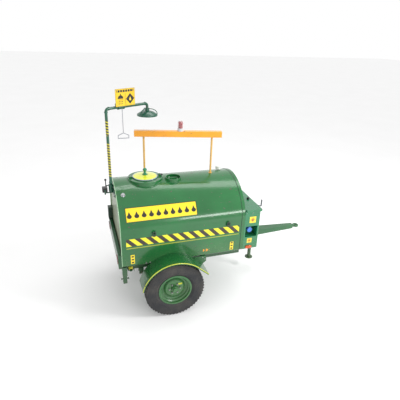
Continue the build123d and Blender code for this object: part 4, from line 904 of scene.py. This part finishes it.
plug_y = -0.30
plug_normal = (0, plug_y, crown_z(plug_y) - CROWN_Z)
plug_at = (TAIL + 0.085, plug_y, crown_z(plug_y) - 0.001)
fasten("tank_plug", bolt_pattern(0.036, 0.024), [(plug_at, plug_normal)], "trailer", "chrome")

cabinet_x = [CABINET_LOW[0] + 0.012 + n * 0.0485 for n in range(5)]
screw_places = [((CABINET_LOW[0] + a, s * HALF, 1.262), (0, s, 0)) for s in (-1, 1) for a in (0.02, 0.11, 0.20)]
screw_places += [((CABINET_LOW[0] + a, s * HALF, 0.742), (0, s, 0)) for s in (-1, 1) for a in (0.02, 0.20)]
fasten("cabinet_rivets", rivet_pattern(0.0045), screw_places, "trailer", "zinc")

# %% [markdown]
# ## Wheel valves and the lamp's glass
# Each tube's valve stands on the rim's dish: a stem with a cap. The work lamp looks out through a
# plate of small cups, one for each light.

# %% Valves and lamp glass
for side, word in ((1, "left"), (-1, "right")):
    low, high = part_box(f"rim_{word}")
    bpy.ops.mesh.primitive_cone_add(vertices=16, radius1=0.0050, radius2=0.0036, depth=0.034)
    stem = bpy.context.object
    choose(stem, lambda face: face.normal.z > 0.9)
    bpy.ops.mesh.extrude_region_move(TRANSFORM_OT_translate={"value": (0, 0, 0.001)})
    bpy.ops.transform.resize(value=(1.35, 1.35, 1), center_override=(0, 0, 0.018))
    bpy.ops.mesh.extrude_region_move(TRANSFORM_OT_translate={"value": (0, 0, 0.010)})
    bpy.ops.mesh.inset(thickness=0.0015)
    bpy.ops.transform.translate(value=(0, 0, 0.0015))
    bpy.ops.object.mode_set(mode="OBJECT")
    turn = radians(130)
    outer = high[1] if side > 0 else low[1]
    stem.location = (WHEEL_X + 0.176 * cos(turn), outer - side * 0.030, WHEEL_Z + 0.176 * sin(turn))
    stem.rotation_euler = (-side * pi / 2, 0, 0)
    settle(stem, f"tyre_valve_{word}", f"wheel_{word}", "knob_black")

LAMP_LOW, LAMP_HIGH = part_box("work_lamp")
LAMP_MIDDLE = Vector(LAMP_LOW).lerp(Vector(LAMP_HIGH), 0.5)
bpy.ops.mesh.primitive_grid_add(x_subdivisions=2, y_subdivisions=3, size=1)
glass = bpy.context.object
glass.scale = (0.040, 0.062, 1)
bpy.ops.object.transform_apply(scale=True)
choose(glass, lambda face: True)
bpy.ops.mesh.inset(thickness=0.0022, use_individual=True)
bpy.ops.mesh.inset(thickness=0.0030, depth=-0.0035, use_individual=True)
bpy.ops.object.mode_set(mode="OBJECT")
wall = glass.modifiers.new("wall", "SOLIDIFY")
wall.thickness = 0.0012
bpy.ops.object.modifier_apply(modifier="wall")
glass.rotation_euler = (0, -pi / 2, 0)
glass.location = (LAMP_LOW[0] + 0.0022, LAMP_MIDDLE.y, LAMP_MIDDLE.z)
settle(glass, "lamp_glass", "work_lamp", "glass")

# %% [markdown]
# ## Pipe fittings on the mast
# The upright and the arm are water pipe, so a banded elbow joins them and a socket stands where the head
# screws on. Each band is a torus, flattened so that it reads as a cast rim.

# %% Pipe bands
PIPE_R = 0.01685
ARM_Z = SIGN_FOOT - 0.012
ELBOW = 0.034
END = Vector((*MAST_AT, 0)) + ARM * 0.618


def pipe_band(at, along, width=0.012, proud=0.0035):
    bpy.ops.mesh.primitive_torus_add(
        major_segments=40, minor_segments=10, major_radius=PIPE_R + proud * 0.4, minor_radius=proud
    )
    band = bpy.context.object
    choose(band, lambda face: True)
    bpy.ops.transform.resize(value=(1, 1, width / (2 * proud)), center_override=(0, 0, 0))
    bpy.ops.object.mode_set(mode="OBJECT")
    band.matrix_world = Matrix.Translation(at) @ Vector(along).to_track_quat("Z", "Y").to_matrix().to_4x4()
    return band


bands = [
    pipe_band((*MAST_AT, ARM_Z - ELBOW - 0.004), (0, 0, 1)),
    pipe_band(Vector((*MAST_AT, ARM_Z)) + ARM * (ELBOW + 0.004), ARM),
    pipe_band(END + Vector((0, 0, ARM_Z)) - ARM * (ELBOW + 0.002), ARM),
    pipe_band((*MAST_AT, 1.662), (0, 0, 1), 0.020, 0.004),
]
for band in bands:
    alone(band)
    bpy.ops.object.transform_apply(location=True, rotation=True, scale=True)
settle(joined(bands), "pipe_bands", "mast", "head", 60)
